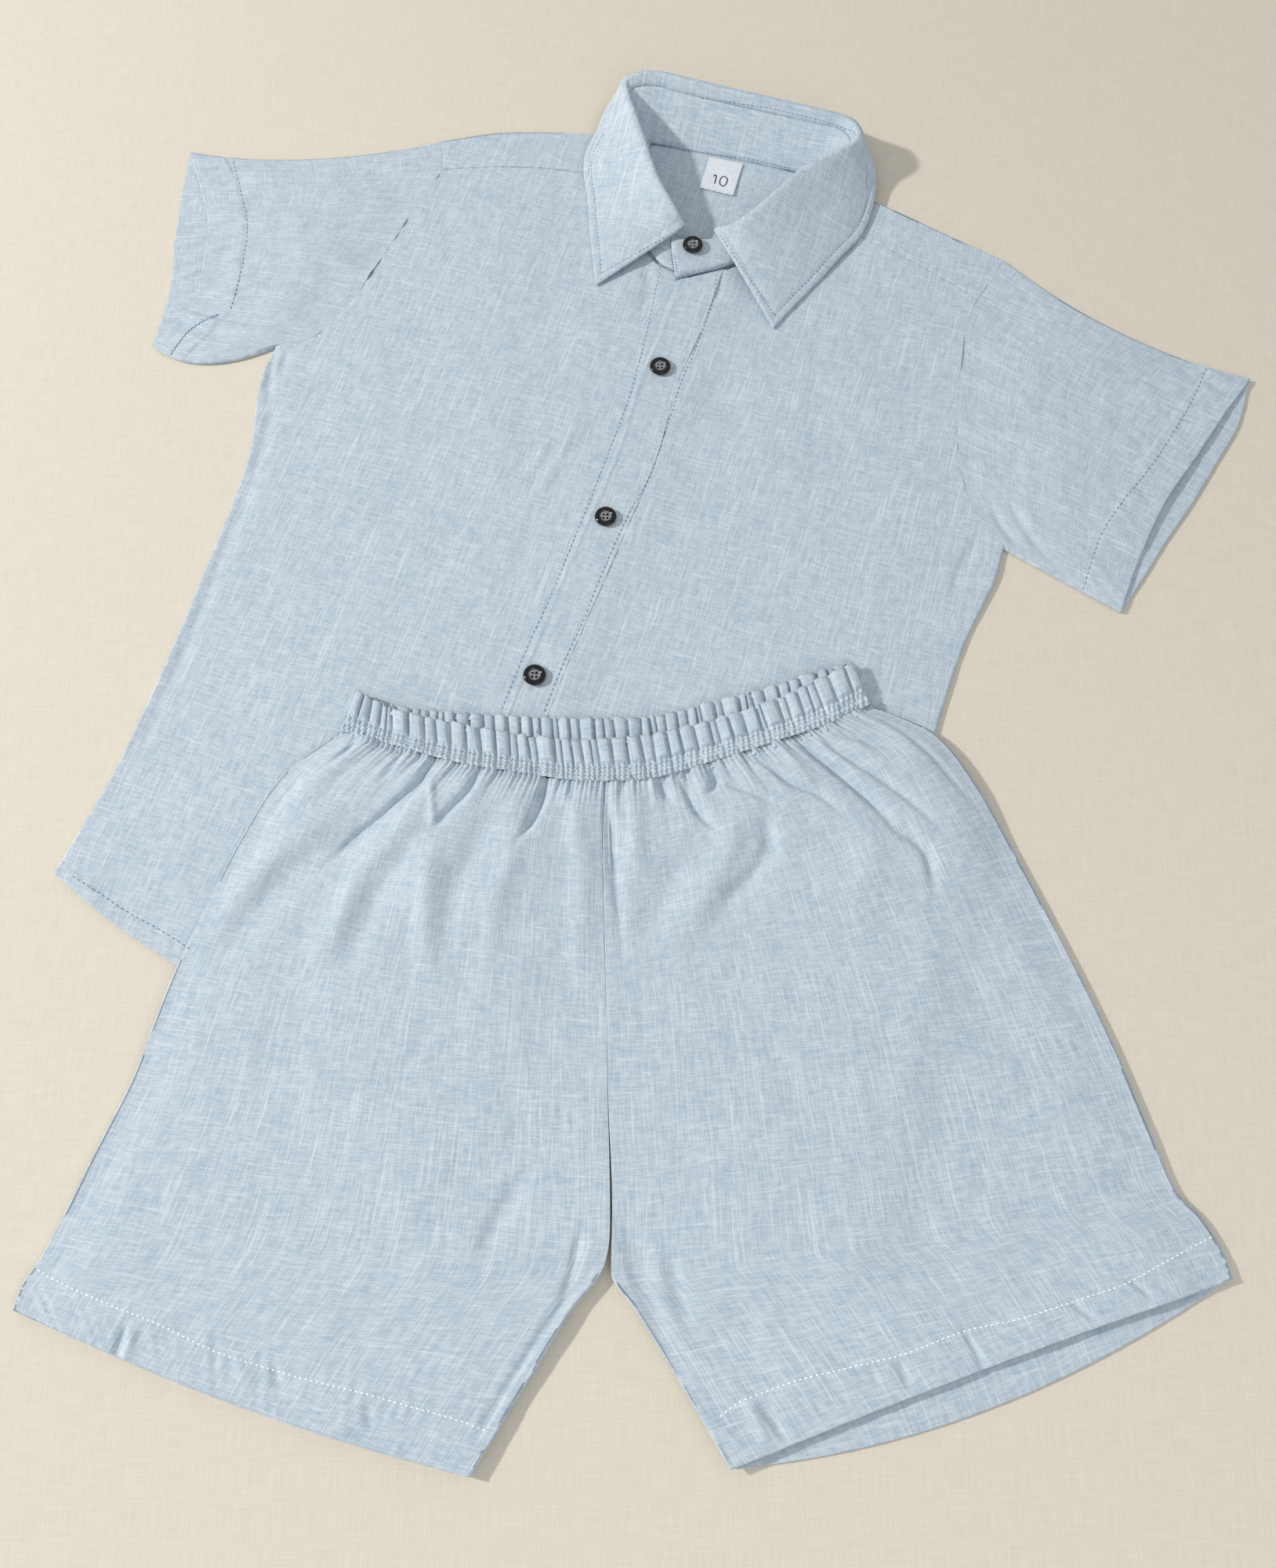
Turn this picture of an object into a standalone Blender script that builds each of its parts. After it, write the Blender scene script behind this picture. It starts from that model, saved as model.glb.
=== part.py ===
"""A child's co-ord set laid flat: a short-sleeved collared shirt, with its shorts on its lower half.

Sizes are in millimetres until a mesh is made.  +X is to the viewer's right, +Y runs up the garments
and +Z is away from the surface that they lie on.  Right and left in names are the wearer's.
"""

import math
from collections import namedtuple

import bmesh
import bpy
import numpy as np

MM = 0.001

# Cloth and layers
CLOTH = 1.1
GAP = 0.3
LAYER = CLOTH + GAP
FOLDED_CLOTH = 1.3
COLLAR_CLOTH = 1.2

# Where the garments lie: the middle of the whole set's outline is the origin
SET_MIDDLE = (31.9, 79.2)
SHIRT_TURN = math.radians(17.1)
SHIRT_AT = (33.0, 346.0)

# Shirt, in its own frame: the top button is the origin and +y runs up the centre front
Span = namedtuple("Span", "left_x left_y right_x right_y bow")

RIGHT_FRONT = (
    Span(-170, 19, -52, 45, 6),
    Span(-176, -17, -44, 14, 2),
    Span(-180, -42, -20, -12, 0),
    Span(-188, -96, 13, -52, 0),
    Span(-204, -130, 13, -104, 0),
    Span(-220, -139, 13, -140, 0),
    Span(-220, -154, 13, -160, 0),
    Span(-206, -211, 13, -222, -2),
    Span(-198, -319, 13, -325, -4),
    Span(-196, -396, 13, -415, -8),
    Span(-202, -476, 13, -501, -17),
)
LEFT_FRONT = (
    Span(54, 50, 176, 19, 6),
    Span(50, 26, 174, -4, 2),
    Span(38, 7, 176, -24, 0),
    Span(23, -8, 181, -58, 0),
    Span(21, -60, 190, -97, 0),
    Span(20, -112, 205, -125, 0),
    Span(21, -146, 226, -146, 0),
    Span(21, -162, 226, -158, 0),
    Span(19, -205, 218, -208, -2),
    Span(13, -318, 212, -300, -4),
    Span(13, -415, 205, -396, -8),
    Span(13, -500, 200, -475, -15),
)
BACK = (
    Span(-176, -12.5, 176, -12.5, 0),
    Span(-180, -42, 179, -42, 0),
    Span(-188, -96, 190, -97, 0),
    Span(-204, -130, 205, -125, 0),
    Span(-220, -139, 226, -146, 0),
    Span(-220, -154, 226, -158, 0),
    Span(-206, -211, 218, -208, 0),
    Span(-198, -319, 212, -300, -6),
    Span(-196, -396, 205, -396, -14),
    Span(-202, -475, 200, -475, -27),
)
PLACKET = (
    Span(-3, -22, 22, -5, 0),
    Span(-3, -59, 22, -48, 0),
    Span(-5, -97, 19, -92, 0),
    Span(-3, -148, 22, -146, 0),
    Span(-6, -208, 19, -205, 0),
    Span(-10, -324, 13, -318, 0),
    Span(-10, -415, 13, -412, 0),
    Span(-10, -500, 13, -500, 0),
)

# Yoke: the line of each shoulder fold, from viewer's left to right
Shoulder = namedtuple("Shoulder", "x y")
RIGHT_SHOULDER = (Shoulder(-179, 41), Shoulder(-144, 59), Shoulder(-98, 73), Shoulder(-50, 80))
LEFT_SHOULDER = (Shoulder(52, 84), Shoulder(102, 74), Shoulder(142, 64), Shoulder(186, 53))
NECK_CELLS = 4
YOKE_BACK = Span(-176, -12, 176, -12, 0)

# Sleeves: the hem edges of the front and back layers, from the shoulder fold to the underarm
SleeveRow = namedtuple("SleeveRow", "front_x front_y back_x back_y")
RIGHT_SLEEVE = (
    SleeveRow(-330, -15, -330, -15),
    SleeveRow(-310, -42, -321, -50),
    SleeveRow(-295, -65, -310, -85),
    SleeveRow(-286, -91, -299, -115),
    SleeveRow(-279, -122, -294, -140),
    SleeveRow(-291, -160, -291, -160),
)
LEFT_SLEEVE = (
    SleeveRow(343, 10, 343, 10),
    SleeveRow(331, -22, 341, -24),
    SleeveRow(319, -58, 332, -56),
    SleeveRow(309, -86, 323, -86),
    SleeveRow(303, -112, 313, -114),
    SleeveRow(299, -138, 305, -140),
    SleeveRow(296, -166, 296, -166),
)
SLEEVE_LOFT = 3.5
SLEEVE_FOLD_SAG = (-11, -11)
SLEEVE_UNDER_SAG = (-13, 0)

# Collar: stations from the under end of the stand, round the back of the neck, to its buttoned end;
# the stand runs from the neck toward the top, where the fall rolls over to its edge; at the front
# the seam between them has its own place, low enough for the buttoned end to lie on the under end
Station = namedtuple("Station", "neck top edge seam", defaults=(None,))
COLLAR = (
    Station((3, -16, 3.7), (1, 9, 3.9), None),
    Station((-15, -12, 3.7), (-8, 13, 11), (-49, -40, 3.6), (-10, 8, 5.3)),
    Station((-28, -2, 3.7), (-15, 18, 16), (-59, -16, 3.6), (-19, 9.5, 9.4)),
    Station((-37, 8, 3.7), (-20.5, 23, 18.5), (-67, 3, 3.6), (-26.5, 16.5, 13)),
    Station((-45, 20, 3.7), (-28.5, 30.5, 20.5), (-75, 24, 3.7)),
    Station((-52, 36, 3.8), (-40, 46, 22), (-83, 42, 4)),
    Station((-56, 52, 3.8), (-50, 62, 22.5), (-86.5, 58, 4.5)),
    Station((-57, 68, 3.8), (-62, 80.5, 23.5), (-85, 75, 5.5)),
    Station((-53, 78, 3.6), (-73.5, 101, 25), (-84, 97, 6)),
    Station((-45, 80, 3), (-65, 107.5, 26.5), (-74, 116, 6)),
    Station((-30, 81, 2.4), (-36, 109.5, 27), (-42, 130, 4)),
    Station((0, 83, 2.1), (4, 109.5, 27), (3, 132, 3.5)),
    Station((30, 84, 2.4), (45, 109.5, 27), (48, 132, 3.5)),
    Station((42, 84, 2.8), (61, 109.5, 26.8), (64, 127, 5)),
    Station((52, 81, 3.2), (73, 107.5, 26.3), (79, 116, 6)),
    Station((59, 74, 3.5), (78, 101, 25.4), (91, 99, 6)),
    Station((62, 54, 3.8), (60, 78, 23), (98, 60, 4)),
    Station((58, 42, 3.8), (49, 63, 22.5), (96, 44, 3.8)),
    Station((52, 31, 3.9), (39.5, 45, 21.5), (88, 24, 3.6)),
    Station((45, 20, 4.1), (30.5, 29, 20), (80, 3, 3.6)),
    Station((36, 10, 4.6), (20.5, 17, 17.5), (71, -18, 3.6)),
    Station((25, -1, 5.6), (10.5, 14, 13), (62.5, -39, 3.6), (14, 13, 8.0)),
    Station((-4, -21, 6.9), (-14, 3, 7.7), None),
)
SEAM_DROP = 0.3
ROLL_RADIUS = 1.6
FALL_CROWN = 1.0
FALL_FOOT = 0.9

# Buttons, label
BUTTON_PLACES = ((0, 2), (6, -87), (6, -194), (-1, -299), (-5, -399))
BUTTON_ACROSS = 12.4
BUTTON_THICK = 2.6
BUTTON_SIDES = 16
STAND_TOP = 7.6
LABEL = (Span(-11, 79, 11, 80, 0), Span(-10, 53, 12, 53, 0))
LABEL_THICK = 0.8

# Shorts, in the set's own frame: rows from the waist seam to the hem, from side seam to inner seam
RIGHT_LEG = (
    Span(-159, 27, -17.3, -2, -8),
    Span(-185, 5, -18.3, -30, -6),
    Span(-206, -34, -17.3, -65, -5),
    Span(-220, -71, -16.3, -100, -4),
    Span(-230, -98, -15.3, -125, -4),
    Span(-243, -145, -14.3, -165, -4),
    Span(-260, -189, -13.0, -214, -5),
    Span(-270, -216, -17.0, -241, -6),
    Span(-277, -233, -30, -257, -6),
    Span(-284, -245, -47, -283, -5),
    Span(-287, -257, -74, -325, -4),
)
LEFT_LEG = (
    Span(-16.8, -2, 126, 42, -6),
    Span(-17.8, -30, 157, 27, -6),
    Span(-16.8, -65, 178, -3, -5),
    Span(-15.8, -100, 199, -49, -4),
    Span(-14.8, -125, 219, -98, -4),
    Span(-13.7, -165, 233, -136, -4),
    Span(-11.6, -214, 246, -178, -4),
    Span(-12.0, -241, 255, -206, -3),
    Span(-1, -257, 264, -216, -2),
    Span(15, -281, 271, -229, -1),
    Span(41, -322, 275, -244, 2),
)
RIGHT_BACK_HEM_DROP = 2
LEFT_BACK_HEM_DROP = 17

Waist = namedtuple("Waist", "x seam_y front_y back_y")
WAIST = (
    Waist(-158, 28, 50, 50),
    Waist(-125, 17, 38, 42),
    Waist(-93, 7, 30, 38),
    Waist(-60, 2, 24, 36),
    Waist(-26, -2, 21, 35),
    Waist(8, 0, 24, 36),
    Waist(42, 10, 32, 44),
    Waist(75, 21, 43, 53),
    Waist(102, 31, 55, 62),
    Waist(124, 43, 67, 68),
)
WAIST_LEAN = (10, -5)
FRONT_WAVES = 43
BACK_WAVES = 48
COLUMNS_A_WAVE = 4
WAVE_RISE = 1.2

# Folds of the shorts' front: a ridge where the height is above zero, else a trough
Fold = namedtuple("Fold", "x1 y1 x2 y2 width height")
FOLDS = (
    Fold(-104, 8, -160, -48, 8, -3.4),
    Fold(-124, 10, -184, -34, 10, 2.4),
    Fold(-96, -4, -140, -66, 11, 2.6),
    Fold(-83, 0, -98, -20, 6, -2.4),
    Fold(-107, -4, -105, -30, 6, 1.4),
    Fold(-60, -4, -76, -62, 9, 2.2),
    Fold(-49, -4, -61, -36, 6, -3.0),
    Fold(-38, -6, -42, -66, 9, 2.4),
    Fold(-2, -6, 0, -60, 8, 1.8),
    Fold(10, -5, 18, -40, 7, -2.0),
    Fold(24, -4, 42, -30, 7, -2.6),
    Fold(34, -6, 60, -62, 9, 2.2),
    Fold(40, -2, 72, -15, 6, -2.2),
    Fold(57, 12, 108, -22, 7, -2.6),
    Fold(70, 10, 128, -56, 10, 2.4),
    Fold(79, 20, 149, -43, 8, -3.4),
    Fold(94, 25, 168, -30, 9, 2.4),
    Fold(66, -22, 58, -54, 9, -2.2),
    Fold(-140, -44, -226, -140, 18, 2.0),
    Fold(-70, -48, -100, -106, 14, 1.6),
    Fold(-54, -198, -78, -238, 9, -1.8),
    Fold(-4, -218, 5, -248, 7, -1.8),
    Fold(13, -233, 24, -267, 7, -1.6),
)
SHORTS_LOFT = 3.4

# Under the shorts: how high the shirt lifts them, and how softly
SHIRT_STACK = 2 * LAYER
SHIRT_HALF_WIDTH = 210
SHIRT_AXIS_X = 4
SHIRT_HEM_Y = -515
EDGE_CLEAR = 20
EDGE_SLOPE = 32
PLACKET_AXIS_X = 4
PLACKET_HALF_WIDTH = 17
HIDDEN_BUTTON_RISE = 3.2
HIDDEN_BUTTON_CLEAR = 26


# Curves through tables

def through(knots, values, at):
    """A smooth curve through the values at the knots, read at the places in at.

    It lies level where the values turn back, so that it never swings past them.
    """
    knots = np.asarray(knots, float)
    values = np.asarray(values, float)
    at = np.clip(np.asarray(at, float), knots[0], knots[-1])
    slopes = np.gradient(values, knots, axis=0)
    rises = np.diff(values, axis=0)
    turns = rises[1:] * rises[:-1] <= 0
    slopes[1:-1][turns] = 0.0
    low = np.clip(np.searchsorted(knots, at, side="right") - 1, 0, len(knots) - 2)
    step = knots[low + 1] - knots[low]
    t = (at - knots[low]) / step
    shape = (-1,) + (1,) * (values.ndim - 1)
    t, step = t.reshape(shape), step.reshape(shape)
    return (
        (2 * t**3 - 3 * t**2 + 1) * values[low]
        + (t**3 - 2 * t**2 + t) * step * slopes[low]
        + (3 * t**2 - 2 * t**3) * values[low + 1]
        + (t**3 - t**2) * step * slopes[low + 1]
    )


def soft_step(t):
    """0 below 0, 1 above 1, and smooth between."""
    t = np.clip(t, 0.0, 1.0)
    return t * t * (3 - 2 * t)


def row_places(rows):
    """How far down the panel each row of a table lies, from the mean travel of its two ends."""
    table = np.array(rows, float)
    travel = np.hypot(np.diff(table[:, 0]), np.diff(table[:, 1]))
    travel += np.hypot(np.diff(table[:, 2]), np.diff(table[:, 3]))
    return np.concatenate(([0.0], np.cumsum(travel / 2)))


def even_steps(places, cell):
    """Every one of the places, with even steps of about one cell between them."""
    steps = [places[:1]]
    for start, end in zip(places[:-1], places[1:]):
        count = max(1, round((end - start) / cell))
        steps.append(np.linspace(start, end, count + 1)[1:])
    return np.concatenate(steps)


def span_grid(rows, cell):
    """Points x, y of a panel that runs through the rows of its table, in cells of about one size."""
    table = np.array(rows, float)
    places = row_places(rows)
    width = np.hypot(table[:, 2] - table[:, 0], table[:, 3] - table[:, 1]).max()
    across = max(1, round(width / cell))
    ends = through(places, table, even_steps(places, cell))
    q = np.linspace(0, 1, across + 1)
    x = ends[:, [0]] * (1 - q) + ends[:, [2]] * q
    y = ends[:, [1]] * (1 - q) + ends[:, [3]] * q + ends[:, [4]] * 4 * q * (1 - q)
    return x, y


# Solids

def cloth_material(name, colour, roughness):
    """A plain Principled material."""
    material = bpy.data.materials.get(name) or bpy.data.materials.new(name)
    material.use_nodes = True
    shader = material.node_tree.nodes["Principled BSDF"]
    shader.inputs["Base Color"].default_value = (*colour, 1.0)
    shader.inputs["Roughness"].default_value = roughness
    material.diffuse_color = (*colour, 1.0)
    return material


def place_shirt(points):
    """The shirt's own frame to the set's frame."""
    x, y = points[..., 0], points[..., 1]
    turned = np.array(points, float)
    turned[..., 0] = SHIRT_AT[0] + x * math.cos(SHIRT_TURN) + y * math.sin(SHIRT_TURN)
    turned[..., 1] = SHIRT_AT[1] - x * math.sin(SHIRT_TURN) + y * math.cos(SHIRT_TURN)
    return turned


def make_object(name, points, faces, material):
    """One closed mesh object, with its faces turned outward and its points in metres."""
    points = np.array(points, float)
    points[:, :2] -= SET_MIDDLE
    mesh = bpy.data.meshes.new(name)
    mesh.from_pydata((points * MM).tolist(), [], faces)
    work = bmesh.new()
    work.from_mesh(mesh)
    bmesh.ops.delete(work, geom=[v for v in work.verts if not v.link_faces], context="VERTS")
    bmesh.ops.recalc_face_normals(work, faces=work.faces[:])
    work.to_mesh(mesh)
    work.free()
    mesh.materials.append(material)
    mesh.shade_smooth()
    mesh.set_sharp_from_angle(angle=math.radians(50))
    thing = bpy.data.objects.new(name, mesh)
    bpy.context.collection.objects.link(thing)
    return thing


def halves(cell, points):
    """A four-sided cell's two triangles, cut along its shorter diagonal."""
    a, b, c, d = cell
    if np.linalg.norm(points[a] - points[c]) <= np.linalg.norm(points[b] - points[d]):
        return (a, b, c), (a, c, d)
    return (b, c, d), (b, d, a)


def wall(name, outer, inner, material, wrap=False, keep=None):
    """A closed wall between two grids of points, with its rim made where the kept cells end."""
    rows, columns = outer.shape[:2]
    count = rows * columns
    points = np.concatenate((outer.reshape(-1, 3), inner.reshape(-1, 3)))
    faces = []
    rim = {}
    for row in range(rows - 1):
        for column in range(columns if wrap else columns - 1):
            if keep is not None and not keep[row][column]:
                continue
            beside = (column + 1) % columns
            cell = (
                row * columns + column,
                row * columns + beside,
                (row + 1) * columns + beside,
                (row + 1) * columns + column,
            )
            for half in halves(cell, points):
                faces.append(half)
                faces.append(tuple(count + corner for corner in reversed(half)))
            for start, end in zip(cell, cell[1:] + cell[:1]):
                if rim.pop((end, start), None) is None:
                    rim[(start, end)] = True
    faces += [(end, start, count + start, count + end) for start, end in rim]
    return make_object(name, points, faces, material)


def lying_wall(name, x, y, low, thick, material, shirt=True):
    """A wall that lies on what is below it: its underside has the height low."""
    under = np.stack((x, y, low * np.ones_like(x)), axis=-1)
    over = under + np.array((0.0, 0.0, thick))
    if shirt:
        under, over = place_shirt(under), place_shirt(over)
    return wall(name, over, under, material)


def tangents(points):
    """Along a grid's first axis, the mean direction of the two steps that meet at each point."""
    steps = np.diff(points, axis=0)
    steps /= np.linalg.norm(steps, axis=-1, keepdims=True)
    return np.concatenate((steps[:1], steps[1:] + steps[:-1], steps[-1:]))


def grid_normals(points):
    """Unit normals of a grid of points."""
    across = tangents(points.transpose(1, 0, 2)).transpose(1, 0, 2)
    normal = np.cross(across, tangents(points))
    return normal / np.linalg.norm(normal, axis=-1, keepdims=True)


# Shirt

def seam_x(y):
    """Where the placket meets the left front, at a height y up the shirt."""
    table = np.array(PLACKET, float)[::-1]
    return through(table[:, 3], table[:, 2], np.ravel(y)).reshape(np.shape(y))


def placket_rise(x, y):
    """The left front climbs to lie level with the placket, which is over the right front."""
    return LAYER * (1 - soft_step((x - seam_x(y)) / 26))


def front_grids():
    """The right and left fronts' points; the left front's seam is the placket's."""
    right = span_grid(RIGHT_FRONT, 34)
    x, y = span_grid(LEFT_FRONT, 34)
    beside_placket = y[:, 0] <= PLACKET[0].right_y
    x[beside_placket, 0] = seam_x(y[beside_placket, 0])
    return right, (x, y)


def make_fronts(cloth):
    right, (x, y) = front_grids()
    lying_wall("shirt_front_right", *right, LAYER, CLOTH, cloth)
    lying_wall("shirt_front_left", x, y, LAYER + placket_rise(x, y), CLOTH, cloth)


def make_placket(cloth):
    """The band under the buttons: its seam has the left front's own points."""
    x, y = front_grids()[1]
    beside = y[:, 0] <= PLACKET[0].right_y
    table = np.array(PLACKET, float)[::-1]
    seam, seam_y = x[beside, 0] - GAP, y[beside, 0]
    edge_y = np.interp(seam_y, table[:, 3], table[:, 1])
    edge = through(table[:, 1], table[:, 0], edge_y)
    q = np.linspace(0, 1, 3)
    band_x = edge[:, None] * (1 - q) + seam[:, None] * q
    band_y = edge_y[:, None] * (1 - q) + seam_y[:, None] * q
    lying_wall("shirt_placket", band_x, band_y, 2 * LAYER, CLOTH, cloth)


def make_back(cloth):
    x, y = span_grid(BACK, 42)
    lying_wall("shirt_back", x, y, 0.0, CLOTH, cloth)


def yoke_columns():
    """The yoke's seam, fold and back lines; its front seams have the fronts' own points."""
    right, left = front_grids()
    lines = []
    for x, y, shoulder in ((*right, RIGHT_SHOULDER), (*left, LEFT_SHOULDER)):
        table = np.array(shoulder, float)
        places = np.linspace(0, 1, len(table))
        fold = through(places, table, np.linspace(0, 1, x.shape[1]))
        seam = np.stack((x[0], y[0] + GAP), axis=-1)
        lines.append((seam, fold))
    q = np.linspace(0, 1, NECK_CELLS + 1)[1:-1, None]
    neck = lines[0][1][-1] * (1 - q) + lines[1][1][0] * q
    seam = np.concatenate((lines[0][0], neck, lines[1][0]))
    fold = np.concatenate((lines[0][1], neck, lines[1][1]))
    back_x = YOKE_BACK.left_x + (fold[:, 0] - fold[0, 0]) * (
        (YOKE_BACK.right_x - YOKE_BACK.left_x) / (fold[-1, 0] - fold[0, 0])
    )
    back = np.stack((back_x, np.full(len(fold), YOKE_BACK.left_y)), axis=-1)
    last_flap = len(lines[0][0]) - 1
    return seam, fold, back, last_flap, last_flap + NECK_CELLS


def make_yoke(cloth):
    """Back layer from armhole to armhole, folded over each shoulder to the seam in front."""
    seam, fold, back, last_flap, first_flap = yoke_columns()
    top = LAYER + CLOTH
    turn = top / 2
    inset = fold - np.array((0.0, turn))
    lines = (
        (seam, top, top - CLOTH, 0),
        ((seam + inset) / 2, top, top - CLOTH, 0),
        (inset, top, top - CLOTH, 0),
        (fold, turn, turn, CLOTH),
        (inset, 0, CLOTH, 0),
        ((inset + back) / 2, 0, CLOTH, 0),
        (back, 0, CLOTH, 0),
    )
    outer = np.array([[(p[0], p[1], high) for p in line] for line, high, low, step in lines])
    inner = np.array([[(p[0], p[1] - step, low) for p in line] for line, high, low, step in lines])
    keep = [
        [row >= 4 or column < last_flap or column >= first_flap for column in range(len(fold) - 1)]
        for row in range(len(lines) - 1)
    ]
    wall("shirt_yoke", place_shirt(outer), place_shirt(inner), cloth, keep=keep)


def arm_edges(side):
    """The armhole's points on the front and back layers, shoulder first; side 0 is viewer's left."""
    column = -1 if side else 0
    seam, fold, back, *_ = yoke_columns()
    inset = fold[column] - np.array((0.0, (LAYER + CLOTH) / 2))
    x, y = front_grids()[side]
    body = np.stack((x[:, column], y[:, column]), axis=-1)
    table = (RIGHT_FRONT, LEFT_FRONT)[side]
    underarm = table[5 + side]
    low = underarm.right_y if side else underarm.left_y
    front = np.concatenate(([inset, (seam[column] + inset) / 2], body[body[:, 1] >= low - 0.01]))
    x, y = span_grid(BACK, 42)
    body = np.stack((x[:, column], y[:, column]), axis=-1)
    behind = np.concatenate(([inset, (back[column] + inset) / 2], body[body[:, 1] >= low - 0.01]))
    return fold[column], front, behind


def sleeve_layer(arm, rows, hem_x, hem_y, outward):
    """A layer's points from the armhole to its hem; the table's rows are spread along the armhole."""
    table = np.array(rows, float)
    travel = np.concatenate(([0.0], np.cumsum(np.hypot(*np.diff(arm, axis=0).T))))
    w = travel / travel[-1]
    at = through(np.linspace(0, 1, len(table)), table, w)
    t = np.linspace(0, 1, 6)
    side = 1 if outward > 0 else 0
    sag = SLEEVE_FOLD_SAG[side] * (1 - w) ** 12 + SLEEVE_UNDER_SAG[side] * w**12
    x = (arm[:, [0]] + outward * GAP * 1.4) * (1 - t) + at[:, [hem_x]] * t
    y = arm[:, [1]] * (1 - t) + at[:, [hem_y]] * t + sag[:, None] * 4 * t * (1 - t)
    puff = 4 * w[:, None] * (1 - w[:, None])
    return x, y, SLEEVE_LOFT * puff * (0.25 + 0.75 * t)


def make_sleeve(name, rows, side, cloth):
    """A flattened tube, open at the armhole and at the hem."""
    outward = 1 if side else -1
    top = LAYER + CLOTH
    fold, front_arm, back_arm = arm_edges(side)
    x, y, loft = sleeve_layer(front_arm, rows, 0, 1, outward)
    front = np.stack((x, y, top + loft), axis=-1)
    x, y, _ = sleeve_layer(back_arm, rows, 2, 3, outward)
    back = np.stack((x, y, np.zeros_like(x)), axis=-1)[::-1]
    toward = front[-1] - front[0]
    toward[:, 2] = 0
    toward /= np.linalg.norm(toward, axis=-1, keepdims=True)
    folds = np.stack((front[0], front[-1]))
    folds[..., 2] = top / 2
    front[0] += toward * top / 2
    back[-1] += toward * top / 2
    front[-1] -= toward * top / 2
    back[0] -= toward * top / 2
    outer = np.concatenate((front, folds[[1]], back, folds[[0]]))
    inner = outer.copy()
    under = len(front)
    inner[:under, :, 2] -= CLOTH
    inner[under + 1 : -1, :, 2] += CLOTH
    inner[under] -= toward * CLOTH
    inner[-1] += toward * CLOTH
    outer = place_shirt(outer).transpose(1, 0, 2)
    inner = place_shirt(inner).transpose(1, 0, 2)
    wall(name, outer, inner, cloth, wrap=True)


# Collar

def stand_seam(station):
    """Where the stand ends and the fall begins: a share of the roll's height below it."""
    if station.edge is None:
        return station.top
    if station.seam is not None:
        return station.seam
    neck, top = np.array(station.neck, float), np.array(station.top, float)
    return top + (neck - top) * SEAM_DROP * top[2] / np.linalg.norm(neck - top)


def collar_line(places, per_station):
    """A smooth line through one place of each station, read at even steps between them."""
    values = np.array(places, float)
    travel = np.concatenate(([0.0], np.cumsum(np.linalg.norm(np.diff(values, axis=0), axis=-1))))
    steps = np.linspace(0, len(values) - 1, (len(values) - 1) * per_station + 1)
    return through(travel, values, np.interp(steps, np.arange(len(values)), travel))


def make_stand(cloth):
    neck = collar_line([station.neck for station in COLLAR], 2)
    seam = collar_line([stand_seam(station) for station in COLLAR], 2)
    middle = np.stack([neck + (seam - neck) * t for t in (0.0, 0.5, 1.0)])
    normal = grid_normals(middle)
    outer = place_shirt(middle + normal * COLLAR_CLOTH / 2)
    inner = place_shirt(middle - normal * COLLAR_CLOTH / 2)
    wall("collar_stand", outer, inner, cloth)


def make_fall(cloth):
    """From the stand's top seam up to the roll, over it, and down to the outer edge."""
    stations = COLLAR[1:-1]
    seam = collar_line([stand_seam(station) for station in stations], 2)
    roll = collar_line([station.top for station in stations], 2)
    edge = collar_line([station.edge for station in stations], 2)
    rise = (roll - seam) / np.linalg.norm(roll - seam, axis=-1, keepdims=True)
    drop = (edge - roll) / np.linalg.norm(edge - roll, axis=-1, keepdims=True)
    along = tangents(roll)
    along /= np.linalg.norm(along, axis=-1, keepdims=True)
    over = rise - drop
    over -= along * np.sum(over * along, axis=-1, keepdims=True)
    over /= np.linalg.norm(over, axis=-1, keepdims=True)
    across = np.cross(over, along)
    lines = [seam + rise * FALL_FOOT]
    for turn in (165, 90, 15):
        angle = math.radians(turn)
        lines.append(roll + ROLL_RADIUS * (across * math.cos(angle) + over * (math.sin(angle) - 1)))
    for t in (0.35, 0.7, 1.0):
        lines.append(roll + (edge - roll) * t + over * FALL_CROWN * 4 * t * (1 - t))
    middle = np.stack(lines)
    normal = grid_normals(middle)
    outer = place_shirt(middle + normal * COLLAR_CLOTH / 2)
    inner = place_shirt(middle - normal * COLLAR_CLOTH / 2)
    wall("collar_fall", outer, inner, cloth)


def make_label(material):
    x, y = span_grid(LABEL, 15)
    lying_wall("neck_label", x, y, LAYER, LABEL_THICK, material)


def make_buttons(material):
    """Turned discs with a raised rim round a sunk middle."""
    radius = BUTTON_ACROSS / 2
    profile = (
        (radius - 1.6, 0.0),
        (radius - 0.3, 0.7),
        (radius, 1.5),
        (radius - 0.9, BUTTON_THICK),
        (radius - 2.0, BUTTON_THICK),
        (radius - 2.9, BUTTON_THICK - 0.9),
    )
    for number, (x, y) in enumerate(BUTTON_PLACES, start=1):
        low = (STAND_TOP if number == 1 else 2 * LAYER + CLOTH) + GAP
        centre = place_shirt(np.array((x, y, low), float))
        points = [
            centre + (r * math.cos(turn), r * math.sin(turn), z)
            for r, z in profile
            for turn in np.linspace(0, 2 * math.pi, BUTTON_SIDES, endpoint=False)
        ]
        faces = [
            (
                ring * BUTTON_SIDES + side,
                ring * BUTTON_SIDES + (side + 1) % BUTTON_SIDES,
                (ring + 1) * BUTTON_SIDES + (side + 1) % BUTTON_SIDES,
                (ring + 1) * BUTTON_SIDES + side,
            )
            for ring in range(len(profile) - 1)
            for side in range(BUTTON_SIDES)
        ]
        faces.append(tuple(range(BUTTON_SIDES)))
        faces.append(tuple(range((len(profile) - 1) * BUTTON_SIDES, len(profile) * BUTTON_SIDES)))
        make_object(f"button_{number}", points, faces, material)


# Shorts

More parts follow.
